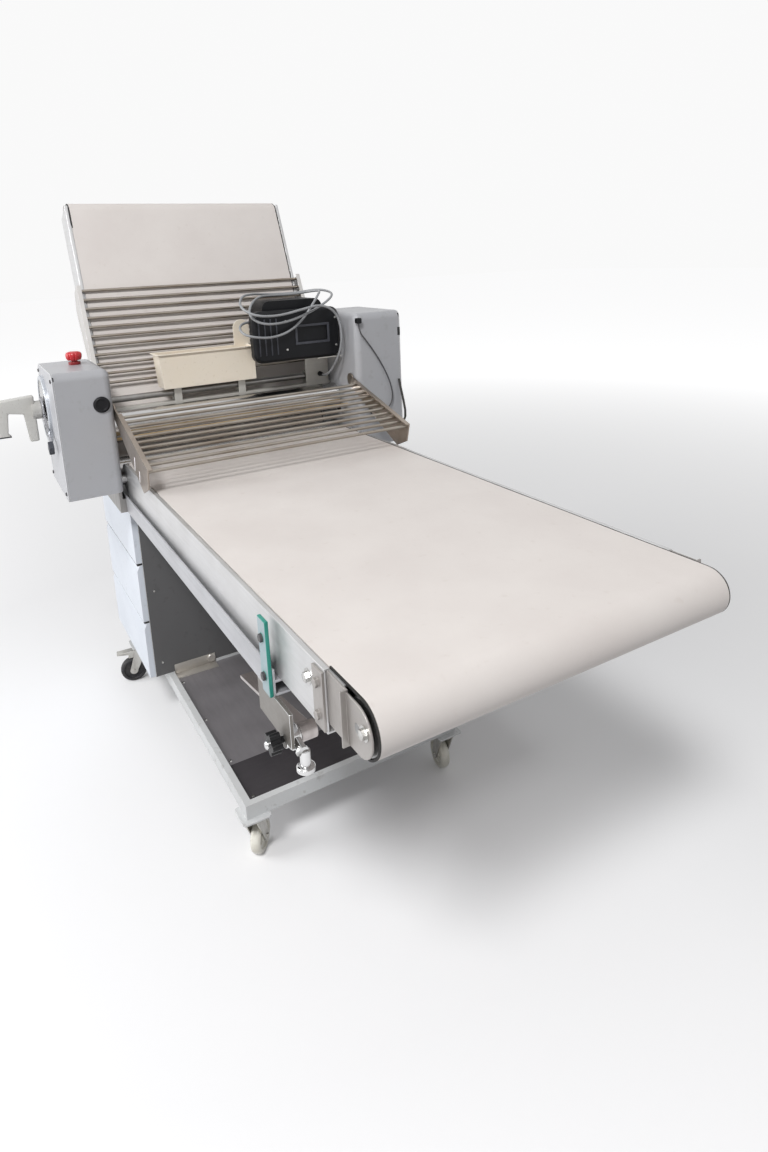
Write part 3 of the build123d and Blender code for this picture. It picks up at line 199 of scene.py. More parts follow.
def finish_from(group, name, values, bump, metallic=0.0, coat=0.0, shine=0.5):
    """A material whose colour, roughness and fine relief come from a shared effect group."""
    finish = bpy.data.materials.new(name)
    finish.use_nodes = True
    tree = finish.node_tree
    shader = tree.nodes["Principled BSDF"]
    shader.inputs["Metallic"].default_value = metallic
    shader.inputs["Coat Weight"].default_value = coat
    shader.inputs["Specular IOR Level"].default_value = shine
    effect = wired(tree, "ShaderNodeGroup", node_tree=group)
    for label, value in values.items():
        effect.inputs[label].default_value = (*value, 1) if label in ("Colour", "Grime", "Dark") else value
    relief = wired(tree, "ShaderNodeBump",
                   {"Height": effect.outputs["Height"], "Strength": 1.0, "Distance": bump})
    tree.links.new(effect.outputs["Colour"], shader.inputs["Base Color"])
    tree.links.new(effect.outputs["Roughness"], shader.inputs["Roughness"])
    tree.links.new(relief.outputs["Normal"], shader.inputs["Normal"])
    return finish


def tone(red, green, blue):
    """A colour written in display values, 0 to 255, as the linear values that shaders take."""
    return tuple((v / 255 / 12.92) if v < 10.3 else ((v / 255 + 0.055) / 1.055) ** 2.4
                 for v in (red, green, blue))


def coated(name, colour, grime, amount=0.3, scale=6.0, rough=0.45, spread=0.06, grain=900.0, bump=0.00004,
           coat=0.0, shine=0.5):
    """Paint, plastic or rubber."""
    return finish_from(film_marks, name, {"Colour": tone(*colour), "Grime": tone(*grime), "Amount": amount,
                                          "Scale": scale, "Roughness": rough, "Spread": spread,
                                          "Grain": grain},
                       bump, coat=coat, shine=shine)


carrier = {node: body for body, held in frame["record"]["behaviour"]["bodies"].items() for node in held}


def lead(node, finish, diameter, route):
    """A round cable along a route in millimetres, in place of the CAD node."""
    line = bpy.data.curves.new(node + "_line", "CURVE")
    line.dimensions = "3D"
    run = line.splines.new("NURBS")
    run.points.add(len(route) - 1)
    for point, place in zip(run.points, route):
        point.co = (*(value / 1000 for value in place), 1)
    run.order_u = 3
    run.use_endpoint_u = True
    line.resolution_u = 10
    line.bevel_depth = diameter / 2
    line.bevel_resolution = 5
    line.use_fill_caps = True
    line.materials.append(finish)
    sheath = bpy.data.objects.new(node + "_sheath", line)
    bpy.context.scene.collection.objects.link(sheath)
    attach(sheath, carrier[node])
    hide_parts(node)


cord_grey = coated("cord_grey", (150, 152, 155), (92, 92, 94), amount=0.5, scale=16, rough=0.38, spread=0.08)
lead_dark = coated("lead_dark", (70, 70, 74), (120, 116, 110), amount=0.4, scale=20, rough=0.5)
lead("foot_switch_cord", cord_grey, 0.007, [
    (0, 86, 1130), (0, 58, 1130), (26, 33, 1118), (60, 33, 1102), (75, 62, 1092), (68, 112, 1086),
    (64, 166, 1096), (63, 214, 1128), (60, 250, 1170), (36, 284, 1200), (0, 304, 1206), (-34, 292, 1204),
    (-46, 240, 1198), (-42, 176, 1198), (-20, 116, 1200), (22, 74, 1180), (62, 52, 1150), (84, 84, 1126),
    (79, 150, 1126), (77, 218, 1144), (74, 282, 1172), (44, 326, 1192), (-6, 340, 1202), (-50, 318, 1208),
    (-70, 258, 1200), (-68, 184, 1200), (-48, 112, 1206), (0, 58, 1206), (56, 28, 1178), (94, 58, 1152),
    (94, 128, 1148), (91, 198, 1160), (89, 262, 1172), (88, 310, 1148), (88, 326, 1098), (86, 324, 1046),
    (68, 316, 1002), (32, 311, 966), (0, 310, 948), (-24, 310, 948)])
lead("guard_lead", lead_dark, 0.004, [
    (146, 352, 1112), (146, 352, 1090), (146, 376, 1060), (146, 406, 1018), (146, 433, 972), (146, 453, 926),
    (146, 460, 882), (146, 446, 852), (146, 420, 846), (146, 399, 846)])


# Castors: pressed zinc-plated forks with nylon wheels in front and black rubber wheels behind. The forks
# swivel on kingpins riveted to plates under the base frame, and one rear fork has a foot brake.
def piece(name, form, finishes, smooth=35):
    """Turns a bmesh into an object at the origin, smooth but for edges sharper than the given angle."""
    mesh = bpy.data.meshes.new(name)
    bmesh.ops.recalc_face_normals(form, faces=form.faces[:])
    form.to_mesh(mesh)
    form.free()
    for finish in finishes:
        mesh.materials.append(finish)
    mesh.shade_smooth()
    mesh.set_sharp_from_angle(angle=math.radians(smooth))
    made = bpy.data.objects.new(name, mesh)
    bpy.context.scene.collection.objects.link(made)
    return made


def stands_for(made, node):
    """Shows a piece in place of a CAD node, on the node's body."""
    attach(made, carrier[node])
    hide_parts(node)
    return made


def eased(node, finishes, width, steps=2, sharp=30, pick=None):
    """Shows a CAD solid with its sharp edges broken. The broken edges take the last finish."""
    form = bmesh.new()
    form.from_mesh(frame["nodes"][node].data)
    bmesh.ops.remove_doubles(form, verts=form.verts[:], dist=2e-6)
    bmesh.ops.dissolve_limit(form, angle_limit=math.radians(0.4), verts=form.verts[:], edges=form.edges[:])
    for face in form.faces:
        face.material_index = pick(face) if pick else 0
    corners = [edge for edge in form.edges
               if edge.is_manifold and edge.calc_face_angle() > math.radians(sharp)]
    bmesh.ops.bevel(form, geom=corners, offset=width, offset_type="OFFSET", segments=steps, profile=0.5,
                    affect="EDGES", clamp_overlap=True, material=len(finishes) - 1)
    made = piece(node + "_eased", form, finishes)
    made.modifiers.new("flat_faces", "WEIGHTED_NORMAL").keep_sharp = True
    return stands_for(made, node)


def turned(form, profile, place, axis, steps=40, finish=0, flutes=0, flute_depth=0.0):
    """Adds a turned shape to form. The profile is (radius, distance along the axis), pole to pole."""
    axis = Vector(axis).normalized()
    side = axis.orthogonal().normalized()
    other = axis.cross(side)
    rings = []
    for radius, along in profile:
        centre = Vector(place) + axis * along
        if radius < 1e-6:
            rings.append([form.verts.new(centre)])
            continue
        ring = []
        for step in range(steps):
            angle = 2 * math.pi * step / steps
            out = radius - flute_depth * max(0.0, math.cos(flutes * angle)) ** 4 if flutes else radius
            ring.append(form.verts.new(centre + out * (math.cos(angle) * side + math.sin(angle) * other)))
        rings.append(ring)
    for low, high in zip(rings, rings[1:]):
        for step in range(steps):
            after = (step + 1) % steps
            corners = [low[step % len(low)], low[after % len(low)], high[after % len(high)],
                       high[step % len(high)]]
            corners = list(dict.fromkeys(corners))
            if len(corners) > 2:
                form.faces.new(corners).material_index = finish


# Rolled and drawn metal with streaks along one direction and cloudy smudges
drawn_metal, given, result = effect_group(
    "drawn_metal",
    [("Colour", "Color"), ("Dark", "Color"), ("Amount", "Float"), ("Along", "Vector"), ("Roughness", "Float"),
     ("Spread", "Float")],
    [("Colour", "Color"), ("Roughness", "Float"), ("Height", "Float")])
at = wired(drawn_metal, "ShaderNodeTexCoord").outputs["Object"]
pulled = wired(drawn_metal, "ShaderNodeVectorMath", {0: at, 1: given.outputs["Along"]},
               operation="MULTIPLY").outputs[0]
streak = noise(drawn_metal, pulled, 1.0, 4.0, 0.7)
smudge = noise(drawn_metal, at, 9.0, 5.0)
streaks = ranged(drawn_metal, streak, 0.35, 0.72, 0.0, 0.6)
smudges = ranged(drawn_metal, smudge, 0.42, 0.75, 0.0, 0.7)
marks = maths(drawn_metal, "ADD", streaks, smudges)
share = maths(drawn_metal, "MULTIPLY", marks, given.outputs["Amount"], clamp=True)
metal = blended(drawn_metal, share, given.outputs["Colour"], given.outputs["Dark"])
swing = ranged(drawn_metal, streak, 0.3, 0.7, -1.0, 1.0)
rough = maths(drawn_metal, "MULTIPLY_ADD", swing, given.outputs["Spread"], given.outputs["Roughness"])
for label, source in (("Colour", metal), ("Roughness", rough), ("Height", streak)):
    drawn_metal.links.new(source, result.inputs[label])


def drawn(name, colour, dark, along, amount=0.5, rough=0.32, spread=0.08, bump=0.00002, metallic=1.0):
    """Bare metal, with its grain stretched by along."""
    return finish_from(drawn_metal, name, {"Colour": tone(*colour), "Dark": tone(*dark), "Amount": amount,
                                           "Along": along, "Roughness": rough, "Spread": spread},
                       bump, metallic=metallic)


fork_zinc = drawn("fork_zinc", (205, 204, 200), (140, 136, 128), (60, 60, 25), rough=0.34, amount=0.7)
wheel_nylon = coated("wheel_nylon", (226, 224, 214), (176, 166, 146), amount=0.5, scale=30, rough=0.32,
                     coat=0.2)
wheel_rubber = coated("wheel_rubber", (34, 34, 38), (92, 88, 84), amount=0.5, scale=34, rough=0.62)
half_profile = [(0.0041, 0.0119), (0.0125, 0.0119), (0.0133, 0.0111), (0.0142, 0.0082), (0.0275, 0.0078),
                (0.0288, 0.0105), (0.0300, 0.0118), (0.0340, 0.0118), (0.0372, 0.0100), (0.0390, 0.0070),
                (0.0398, 0.0030)]
profile = [(r, -a) for r, a in half_profile] + [(r, a) for r, a in reversed(half_profile)]
rib_count, rib_middle, rib_long, rib_thick, rib_out = 6, 0.0208, 0.0136, 0.0022, 0.0085
for castor in ("front_left", "front_right", "rear_left", "rear_right"):
    eased(castor + "_fork", [fork_zinc], 0.0009)
    roll_joint = next(joint for joint in frame["joints"] if joint["child"] == castor + "_wheel")
    hub, axle = roll_joint["pos_m"], roll_joint["axis"]
    wheel = bmesh.new()
    turned(wheel, profile + [profile[0]], hub, axle, steps=56)
    bmesh.ops.remove_doubles(wheel, verts=wheel.verts[:], dist=1e-6)
    across = Vector(axle).normalized()
    spoke = across.orthogonal().normalized()
    for face_side in (-1, 1):
        for step in range(rib_count):
            turn = Matrix.Rotation(2 * math.pi * step / rib_count, 3, across)
            for vert in bmesh.ops.create_cube(wheel, size=1)["verts"]:
                local = (spoke * (rib_middle + vert.co.x * rib_long)
                         + across.cross(spoke) * vert.co.y * rib_thick
                         + across * face_side * (rib_out + vert.co.z * rib_thick))
                vert.co = Vector(hub) + turn @ local
    tread = wheel_nylon if castor.startswith("front") else wheel_rubber
    stands_for(piece(castor + "_wheel_turned", wheel, [tread], smooth=30), castor + "_wheel")
eased("brake_lever", [fork_zinc], 0.0012)

# Base frame and shelf: a welded ring of folded channel under the cabinet, painted light grey, with a loose
# grey sheet let into its front half, a darker sheet laid over the front as painted shade under the front
# table, and an upstand folded up against the cabinet.
stand_paint = coated("stand_paint", (205, 207, 208), (128, 122, 116), amount=0.35, scale=5, rough=0.40,
                     spread=0.1)
# Lighter finish for the frame's broken edges: edge wear and painted highlight.
stand_edge_wear_and_highlight = coated("stand_edge_wear_and_highlight", (226, 226, 224), (150, 146, 140), amount=0.5, scale=24, rough=0.36)
eased("base_frame", [stand_paint, stand_edge_wear_and_highlight], 0.0014)
shelf_sheet = drawn("shelf_sheet", (142, 139, 142), (100, 97, 99), (4, 30, 30), amount=0.5, rough=0.42,
                    metallic=0.4)
shelf_shade_dark = drawn("shelf_shade_dark", (66, 63, 66), (46, 43, 46), (30, 4, 30), amount=0.6, rough=0.5,
                   metallic=0.35)
upstand_steel = drawn("upstand_steel", (190, 186, 180), (120, 112, 104), (30, 6, 30), rough=0.4, metallic=0.6)
eased("lower_shelf", [shelf_sheet], 0.0004)
shelf_top, sheet_thick = 0.152, 0.002


def box_form(low, high, ease=0.0, steps=2, form=None):
    """Adds a box with broken edges to form, from its two corners."""
    own = bmesh.new()
    low, high = Vector(low), Vector(high)
    for vert in bmesh.ops.create_cube(own, size=1)["verts"]:
        vert.co = Vector([a + (b - a) * (c + 0.5) for a, b, c in zip(low, high, vert.co)])
    if ease:
        bmesh.ops.bevel(own, geom=own.edges[:], offset=ease, segments=steps, profile=0.5, affect="EDGES")
    if form is None:
        return own
    spare = bpy.data.meshes.new("spare")
    own.to_mesh(spare)
    own.free()
    form.from_mesh(spare)
    bpy.data.meshes.remove(spare)
    return form


def fitted(name, form, finishes, body, smooth=35):
    """A small fitting that has no CAD node of its own, on a body."""
    made = piece(name, form, finishes, smooth)
    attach(made, body)


sheet_back, sheet_front, sheet_half = 0.537, 0.675, 0.260
# The dark front sheet is painted shade: it darkens the shelf where the front table shades it.
front_shade_sheet = box_form((sheet_back, -sheet_half, shelf_top),
                       (sheet_front, sheet_half, shelf_top + sheet_thick), 0.0005)
fitted("shelf_front_shade", front_shade_sheet, [shelf_shade_dark], "stand")
upstand_back, upstand_left, upstand_right = 0.0672, -0.259, -0.140
upstand_corner = (upstand_back, upstand_left, shelf_top)
upstand = box_form(upstand_corner, (0.0690, upstand_right, shelf_top + 0.030), 0.0007)
box_form(upstand_corner, (0.1000, upstand_right, shelf_top + 0.0018), 0.0006, form=upstand)
turned(upstand, [(0, 0), (0.012, 0), (0.012, 0.0035), (0.0105, 0.005), (0, 0.0052)],
       (0.069, -0.152, shelf_top + 0.018), (1, 0, 0), steps=24)
fitted("shelf_upstand", upstand, [upstand_steel], "stand")


# Screws and bolts: small slotted steel screws that hold covers and sheets, and hexagon bolts on washers at the
# free end of the front table. Each row of like ones on a body is one piece.
def growth_tree(name, sizes):
    """An empty Geometry Nodes tree with named size inputs, its two end nodes and the inputs' identifiers."""
    tree = bpy.data.node_groups.new(name, "GeometryNodeTree")
    tree.interface.new_socket("Geometry", in_out="OUTPUT", socket_type="NodeSocketGeometry")
    tree.interface.new_socket("Geometry", in_out="INPUT", socket_type="NodeSocketGeometry")
    keys = {label: tree.interface.new_socket(label, in_out="INPUT",
                                             socket_type="NodeSocket" + kind).identifier
            for label, kind in sizes}
    return tree, tree.nodes.new("NodeGroupInput"), tree.nodes.new("NodeGroupOutput"), keys


def grown(name, tree, keys, values, base, body, placed=None):
    """Runs a tree on a base mesh, keeps the result as a plain mesh and lets it ride on a body."""
    made = bpy.data.objects.new(name, base)
    bpy.context.scene.collection.objects.link(made)
    growth = made.modifiers.new("growth", "NODES")
    growth.node_group = tree
    for label, value in values.items():
        growth[keys[label]] = value
    bpy.context.view_layer.update()
    ready = made.evaluated_get(bpy.context.evaluated_depsgraph_get())
    mesh = bpy.data.meshes.new_from_object(ready)
    made.modifiers.clear()
    made.data = mesh
    if placed:
        mesh.transform(placed)
    mesh.shade_smooth()
    mesh.set_sharp_from_angle(angle=math.radians(32))
    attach(made, body)
    return made


def marked_points(name, places):
    """Points with a facing direction, for a tree to set like pieces on."""
    base = bpy.data.meshes.new(name)
    base.from_pydata([place for place, facing in places], [], [])
    facings = base.attributes.new("facing", "FLOAT_VECTOR", "POINT")
    for entry, (place, facing) in zip(facings.data, places):
        entry.vector = facing
    return base


def xyz(tree, **parts):
    """A vector put together from its parts."""
    return wired(tree, "ShaderNodeCombineXYZ", parts).outputs[0]


def copied(tree, given, result, points, shape, rotation):
    """Ends a tree: shape is set on each point, made plain mesh and given the finish."""
    placed = wired(tree, "GeometryNodeInstanceOnPoints",
                   {"Points": points, "Instance": shape, "Rotation": rotation})
    plain = wired(tree, "GeometryNodeRealizeInstances", {"Geometry": placed.outputs[0]})
    dressed = wired(tree, "GeometryNodeSetMaterial", {"Geometry": plain.outputs[0],
                                                      "Material": given.outputs["Finish"]})
    tree.links.new(dressed.outputs[0], result.inputs["Geometry"])


def set_on_points(tree, given, result, shape):
    """Ends a tree with shape on each marked point, turned to its facing and by a fixed random turn."""
    facing = wired(tree, "GeometryNodeInputNamedAttribute", {"Name": "facing"},
                   data_type="FLOAT_VECTOR").outputs[0]
    aim = wired(tree, "FunctionNodeAlignRotationToVector", {"Vector": facing}, axis="Z").outputs[0]
    spin = wired(tree, "FunctionNodeRandomValue", {"Min": (0, 0, 0), "Max": (0, 0, 6.28), "Seed": 7},
                 data_type="FLOAT_VECTOR").outputs[0]
    turn = wired(tree, "FunctionNodeEulerToRotation", {"Euler": spin}).outputs[0]
    both = wired(tree, "FunctionNodeRotateRotation", {"Rotation": aim, "Rotate By": turn},
                 rotation_space="LOCAL").outputs[0]
    copied(tree, given, result, given.outputs["Geometry"], shape, both)


def moved(tree, shape, by):
    """A shape moved by a vector."""
    return wired(tree, "GeometryNodeTransform", {"Geometry": shape, "Translation": by}).outputs[0]


slotted_screws, given, result, screw_keys = growth_tree(
    "slotted_screws",
    [("Head radius", "Float"), ("Head height", "Float"), ("Slot", "Float"), ("Finish", "Material")])
radius, height = given.outputs["Head radius"], given.outputs["Head height"]
head = wired(slotted_screws, "GeometryNodeMeshCone",
             {"Vertices": 20, "Radius Top": maths(slotted_screws, "MULTIPLY", radius, 0.72),
              "Radius Bottom": radius, "Depth": height}).outputs[0]
groove = xyz(slotted_screws, X=maths(slotted_screws, "MULTIPLY", radius, 3.0), Y=given.outputs["Slot"],
             Z=height)
blade = wired(slotted_screws, "GeometryNodeMeshCube", {"Size": groove}).outputs[0]
blade = moved(slotted_screws, blade, xyz(slotted_screws, Z=height))
slotted = wired(slotted_screws, "GeometryNodeMeshBoolean", {"Mesh 1": head, "Mesh 2": blade},
                operation="DIFFERENCE").outputs[0]
set_on_points(slotted_screws, given, result, slotted)
screw_dark = coated("screw_dark", (46, 46, 50), (110, 106, 100), amount=0.4, scale=60, rough=0.4)
screw_bright = drawn("screw_bright", (205, 205, 203), (140, 136, 130), (90, 90, 90), rough=0.26)


def screws(name, body, finish, radius, places):
    """A row of slotted screws on a body, at (place, facing) pairs."""
    grown(name, slotted_screws, screw_keys, {"Head radius": radius, "Head height": radius * 0.55,
                                             "Slot": radius * 0.26, "Finish": finish},
          marked_points(name, places), body)


hex_bolts, given, result, bolt_keys = growth_tree(
    "hex_bolts", [("Head radius", "Float"), ("Head height", "Float"), ("Washer radius", "Float"),
                  ("Washer height", "Float"), ("Finish", "Material")])
radius, height = given.outputs["Head radius"], given.outputs["Head height"]
washer_radius, washer_height = given.outputs["Washer radius"], given.outputs["Washer height"]
head = wired(hex_bolts, "GeometryNodeMeshCylinder",
             {"Vertices": 6, "Radius": radius, "Depth": height}).outputs[0]
cap = wired(hex_bolts, "GeometryNodeMeshCone",
            {"Vertices": 24, "Radius Top": 0.002, "Radius Bottom": maths(hex_bolts, "MULTIPLY", radius, 0.86),
             "Depth": 0.0012}).outputs[0]
half_head = maths(hex_bolts, "MULTIPLY", height, 0.5)
head_lift = maths(hex_bolts, "ADD", half_head, washer_height)
cap_lift = maths(hex_bolts, "ADD", head_lift, half_head)
washer = wired(hex_bolts, "GeometryNodeMeshCone",
               {"Vertices": 28, "Radius Top": washer_radius, "Radius Bottom": washer_radius,
                "Depth": washer_height}).outputs[0]
stack = wired(hex_bolts, "GeometryNodeJoinGeometry")
for shape in (moved(hex_bolts, head, xyz(hex_bolts, Z=head_lift)),
              moved(hex_bolts, cap, xyz(hex_bolts, Z=cap_lift)), washer):
    hex_bolts.links.new(shape, stack.inputs[0])
set_on_points(hex_bolts, given, result, stack.outputs[0])


def bolts(name, body, finish, radius, places, washer):
    """A row of hexagon bolts on washers on a body, at (place, facing) pairs."""
    grown(name, hex_bolts, bolt_keys, {"Head radius": radius, "Head height": radius * 0.7,
                                       "Washer radius": washer, "Washer height": radius * 0.18,
                                       "Finish": finish},
          marked_points(name, places), body)


screws("shelf_screws", "stand", screw_bright, 0.0042,
       [((x, y, shelf_top), (0, 0, 1)) for x in (0.125, 0.33, 0.52) for y in (-0.252, 0.252)]
       + [((0.662, y, shelf_top + sheet_thick), (0, 0, 1)) for y in (-0.25, 0.25)])

# Drawer cabinet: a spot-welded sheet box in grey paint darkened with painted shade, with three drawers whose
# pale folded fronts have a finger gap along the top edge. They run on ledges inside, and black strips of
# painted shade fill the gaps between them.
# Grey paint darkened with painted shade, for the shade under the table.
cabinet_paint_and_shade = coated("cabinet_paint_and_shade", (96, 96, 97), (72, 70, 69), amount=0.35, scale=4, rough=0.5,
                       spread=0.1, shine=0.3)
# Lighter finish for the cabinet's broken edges: edge wear and painted highlight.
cabinet_edge_wear_and_highlight = coated("cabinet_edge_wear_and_highlight", (214, 214, 214), (140, 136, 130), amount=0.5, scale=24, rough=0.4)
drawer_paint = coated("drawer_paint", (214, 220, 229), (158, 160, 166), amount=0.28, scale=5, rough=0.36,
                      spread=0.08)
# Lighter finish for the drawers' broken edges: edge wear and painted highlight.
drawer_edge_wear_and_highlight = coated("drawer_edge_wear_and_highlight", (230, 234, 240), (168, 168, 172), amount=0.4, scale=24, rough=0.34)
gap_shade_black = coated("gap_shade_black", (26, 26, 28), (60, 58, 56), amount=0.3, scale=30, rough=0.7)
eased("drawer_cabinet", [cabinet_paint_and_shade, cabinet_edge_wear_and_highlight], 0.0008)
drawers = ("top_drawer", "middle_drawer", "bottom_drawer")
for drawer in drawers:
    eased(drawer, [drawer_paint, drawer_edge_wear_and_highlight], 0.0007)
cabinet_low, cabinet_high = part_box("drawer_cabinet")
# Black strips of painted shade in the gaps between the drawer fronts.
drawer_foot, gap_shade_front, gap_shade_back = 0.160, -0.3262, -0.3122
for step in range(1, len(drawers)):
    seam = drawer_foot + step * (cabinet_high.z - drawer_foot) / len(drawers)
    gap_shade_strip = box_form((cabinet_low.x + 0.001, gap_shade_front, seam - 0.0034),
                      (cabinet_high.x - 0.001, gap_shade_back, seam + 0.0026), 0.0004)
    fitted("drawer_gap_shade_%d" % step, gap_shade_strip, [gap_shade_black], "stand")
screws("cabinet_screws", "stand", screw_bright, 0.004,
       [((cabinet_high.x, y, z), (1, 0, 0)) for y in (-0.29, 0.29) for z in (0.20, 0.42, 0.64)]
       + [((x, cabinet_high.y, z), (0, 1, 0)) for x in (-0.33, -0.147, 0.036) for z in (0.19, 0.65)]
       + [((cabinet_low.x, y, z), (-1, 0, 0)) for y in (-0.28, 0.28) for z in (0.20, 0.42, 0.64)])

# Table beams: long drawn box sections with an upstand lip, which carry the tables. The stop bar on the
# operator's beam is enamelled turquoise, with its large outer face coloured pale, and held by two dark bolts.
beam_metal = drawn("beam_metal", (184, 185, 189), (142, 142, 145), (3, 60, 60), amount=0.45, rough=0.4,
                   metallic=0.45)
stop_enamel = coated("stop_enamel", (26, 132, 118), (80, 150, 140), amount=0.5, scale=30, rough=0.36)
stop_pale_face = coated("stop_pale_face", (150, 166, 172), (96, 146, 144), amount=0.6, scale=18, rough=0.44)
stop_face = -0.3486
eased("table_beams", [beam_metal], 0.0009)
# The large outer face takes the pale colour and the other faces teal.
stop_bar = eased("table_stop_bar", [stop_pale_face, screw_dark, stop_enamel], 0.0012,
                 pick=lambda face: 0 if face.normal.y < -0.9 and face.calc_area() > 1e-3 else 2)
for face in stop_bar.data.polygons:
    if face.center.y < stop_face:
        face.material_index = 1

# Arm rest under the front table: a flat steel arm on a chromed clamp, hung from the beam by a dull plate and
# tightened by a black knob, with a short chromed leg that ends in a button foot.
arm_steel = drawn("arm_steel", (190, 184, 182), (128, 120, 118), (8, 70, 40), amount=0.6, rough=0.34)
clamp_chrome = drawn("clamp_chrome", (222, 222, 222), (150, 150, 150), (40, 40, 40), amount=0.35, rough=0.12,
                     spread=0.04)
knob_black = coated("knob_black", (20, 20, 22), (56, 56, 56), amount=0.3, scale=40, rough=0.34, shine=0.25)
hanger_steel = drawn("hanger_steel", (128, 124, 119), (92, 88, 84), (12, 60, 20), amount=0.5, rough=0.42,
                     metallic=0.5)
hanger_back, clamp_x, clamp_z = -0.3355, 1.132, 0.624
eased("swing_arm", [arm_steel], 0.0009)
eased("arm_hanger", [hanger_steel, clamp_chrome], 0.001,
      pick=lambda face: 1 if face.calc_center_median().y > hanger_back else 0)
eased("clamp_knob", [knob_black], 0.0016, steps=3)
clamp = bmesh.new()
turned(clamp, [(0.0145, 0), (0.0190, 0), (0.0202, 0.0012), (0.0202, 0.0098), (0.0190, 0.0110),
               (0.0145, 0.0110), (0.0145, 0)], (clamp_x, -0.3335, clamp_z), (0, 1, 0), steps=44)
turned(clamp, [(0, 0), (0.0075, 0), (0.0075, 0.016), (0.0095, 0.017), (0.0095, 0.020), (0, 0.020)],
       (clamp_x + 0.0170, -0.328, clamp_z + 0.002), (1, 0, -0.35), steps=32)
turned(clamp, [(0, 0), (0.0120, 0), (0.0140, 0.0020), (0.0140, 0.0080), (0.0125, 0.0100), (0.0090, 0.0112),
               (0.0080, 0.0112), (0.0080, 0.0340), (0, 0.0340)],
       (clamp_x + 0.030, -0.322, clamp_z - 0.042), (0, 0, 1), steps=40)
bmesh.ops.remove_doubles(clamp, verts=clamp.verts[:], dist=1e-6)
fitted("arm_clamp", clamp, [clamp_chrome], "stand")
stud = bmesh.new()
turned(stud, [(0, 0), (0.0062, 0), (0.0062, 0.0035), (0.0048, 0.0052), (0, 0.0056)],
       (clamp_x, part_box("clamp_knob")[0].y, clamp_z), (0, -1, 0), steps=28)
fitted("knob_stud", stud, [clamp_chrome], "clamp_knob")

# Inner works of the head: steel side plates with bronze bushes, the roller carriers on their racks, the cross
# shaft and the drive motor. They are bare or oiled machine parts behind the housings.
plate_steel = drawn("plate_steel", (150, 148, 146), (96, 92, 88), (30, 30, 6), amount=0.5, rough=0.4)
roller_steel = drawn("roller_steel", (206, 206, 206), (164, 162, 160), (70, 3, 70), amount=0.35, rough=0.2,
                     spread=0.05)
bush_bronze = drawn("bush_bronze", (176, 140, 84), (120, 92, 52), (60, 60, 60), rough=0.3)
motor_paint = coated("motor_paint", (92, 98, 104), (48, 48, 48), amount=0.5, scale=20, rough=0.5)
eased("head_plates", [plate_steel], 0.0008)
eased("roller_carriers", [plate_steel], 0.0003)
eased("gap_shaft", [plate_steel], 0.0001)
eased("roller_bearings", [bush_bronze], 0.0006)
eased("drive_motor", [motor_paint], 0.001)
for roller in ("lower_roller", "upper_roller"):
    eased(roller, [roller_steel], 0.0008)

# Housings: pressed steel boxes with soft edges round the head plates, in light grey satin paint, each closed
# by a flat cover on a dark seal. Dark screws hold the covers in the corners, and those of the right one are
# sunk in.
housing_paint = coated("housing_paint", (172, 173, 177), (140, 137, 134), amount=0.2, scale=5, rough=0.38,
                       spread=0.07, grain=700, bump=0.00006)
# Lighter finish for the housings' broken edges: edge wear and painted highlight.
housing_edge_wear_and_highlight = coated("housing_edge_wear_and_highlight", (212, 213, 215), (160, 157, 152), amount=0.3, scale=20, rough=0.36)
# Black for the covers' seals, and painted shade for the slot on the right cover.
seal_black_and_slot_shade = coated("seal_black_and_slot_shade", (20, 20, 22), (50, 50, 50), amount=0.3, scale=30, rough=0.6)
eased("left_housing", [housing_paint, housing_edge_wear_and_highlight], 0.0012)
eased("right_housing", [housing_paint, housing_edge_wear_and_highlight], 0.0012)
eased("left_cover", [housing_paint, housing_edge_wear_and_highlight], 0.0016, steps=3)
right_cover = eased("right_cover", [housing_paint, housing_edge_wear_and_highlight], 0.0016, steps=3)
seal_half, seal_reach, seal_foot, seal_drop = 0.0012, 0.1375, 0.7405, 0.0075
for name, top, seam in (("left_seal", 1.058, -0.476), ("right_seal", 1.140, 0.493)):
    seal = box_form((-seal_reach, seam - seal_half, seal_foot),
                    (seal_reach, seam + seal_half, top - seal_drop), 0.0004)
    fitted(name, seal, [seal_black_and_slot_shade], "stand")
left_face, right_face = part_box("left_cover")[0].y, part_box("right_cover")[1].y
corner_x, corner_low, left_high, right_high = 0.122, 0.757, 1.040, 1.122
sink_depth = 0.0031
sunk_places = [Vector((x, right_face, z)) for x in (-corner_x, corner_x) for z in (corner_low, right_high)]
sinks = bmesh.new()
for place in sunk_places:
    turned(sinks, [(0, -sink_depth), (0.0058, -sink_depth), (0.0074, 0.0004), (0, 0.0004)], place, (0, 1, 0),
           steps=28)
sinks = piece("screw_sinks", sinks, [housing_paint])
right_cover.modifiers.clear()
right_cover.modifiers.new("sunk", "BOOLEAN").object = sinks
bpy.context.view_layer.update()
ready = right_cover.evaluated_get(bpy.context.evaluated_depsgraph_get())
right_cover.data = bpy.data.meshes.new_from_object(ready)
right_cover.modifiers.clear()
bpy.data.objects.remove(sinks)
right_cover.data.shade_smooth()
right_cover.data.set_sharp_from_angle(angle=math.radians(35))
right_cover.modifiers.new("flat_faces", "WEIGHTED_NORMAL").keep_sharp = True
screws("cover_screws", "stand", screw_dark, 0.0052,
       [((x, left_face, z), (0, -1, 0)) for x in (-corner_x, corner_x) for z in (corner_low, left_high)]
       + [(tuple(place - Vector((0, sink_depth, 0))), (0, 1, 0)) for place in sunk_places])

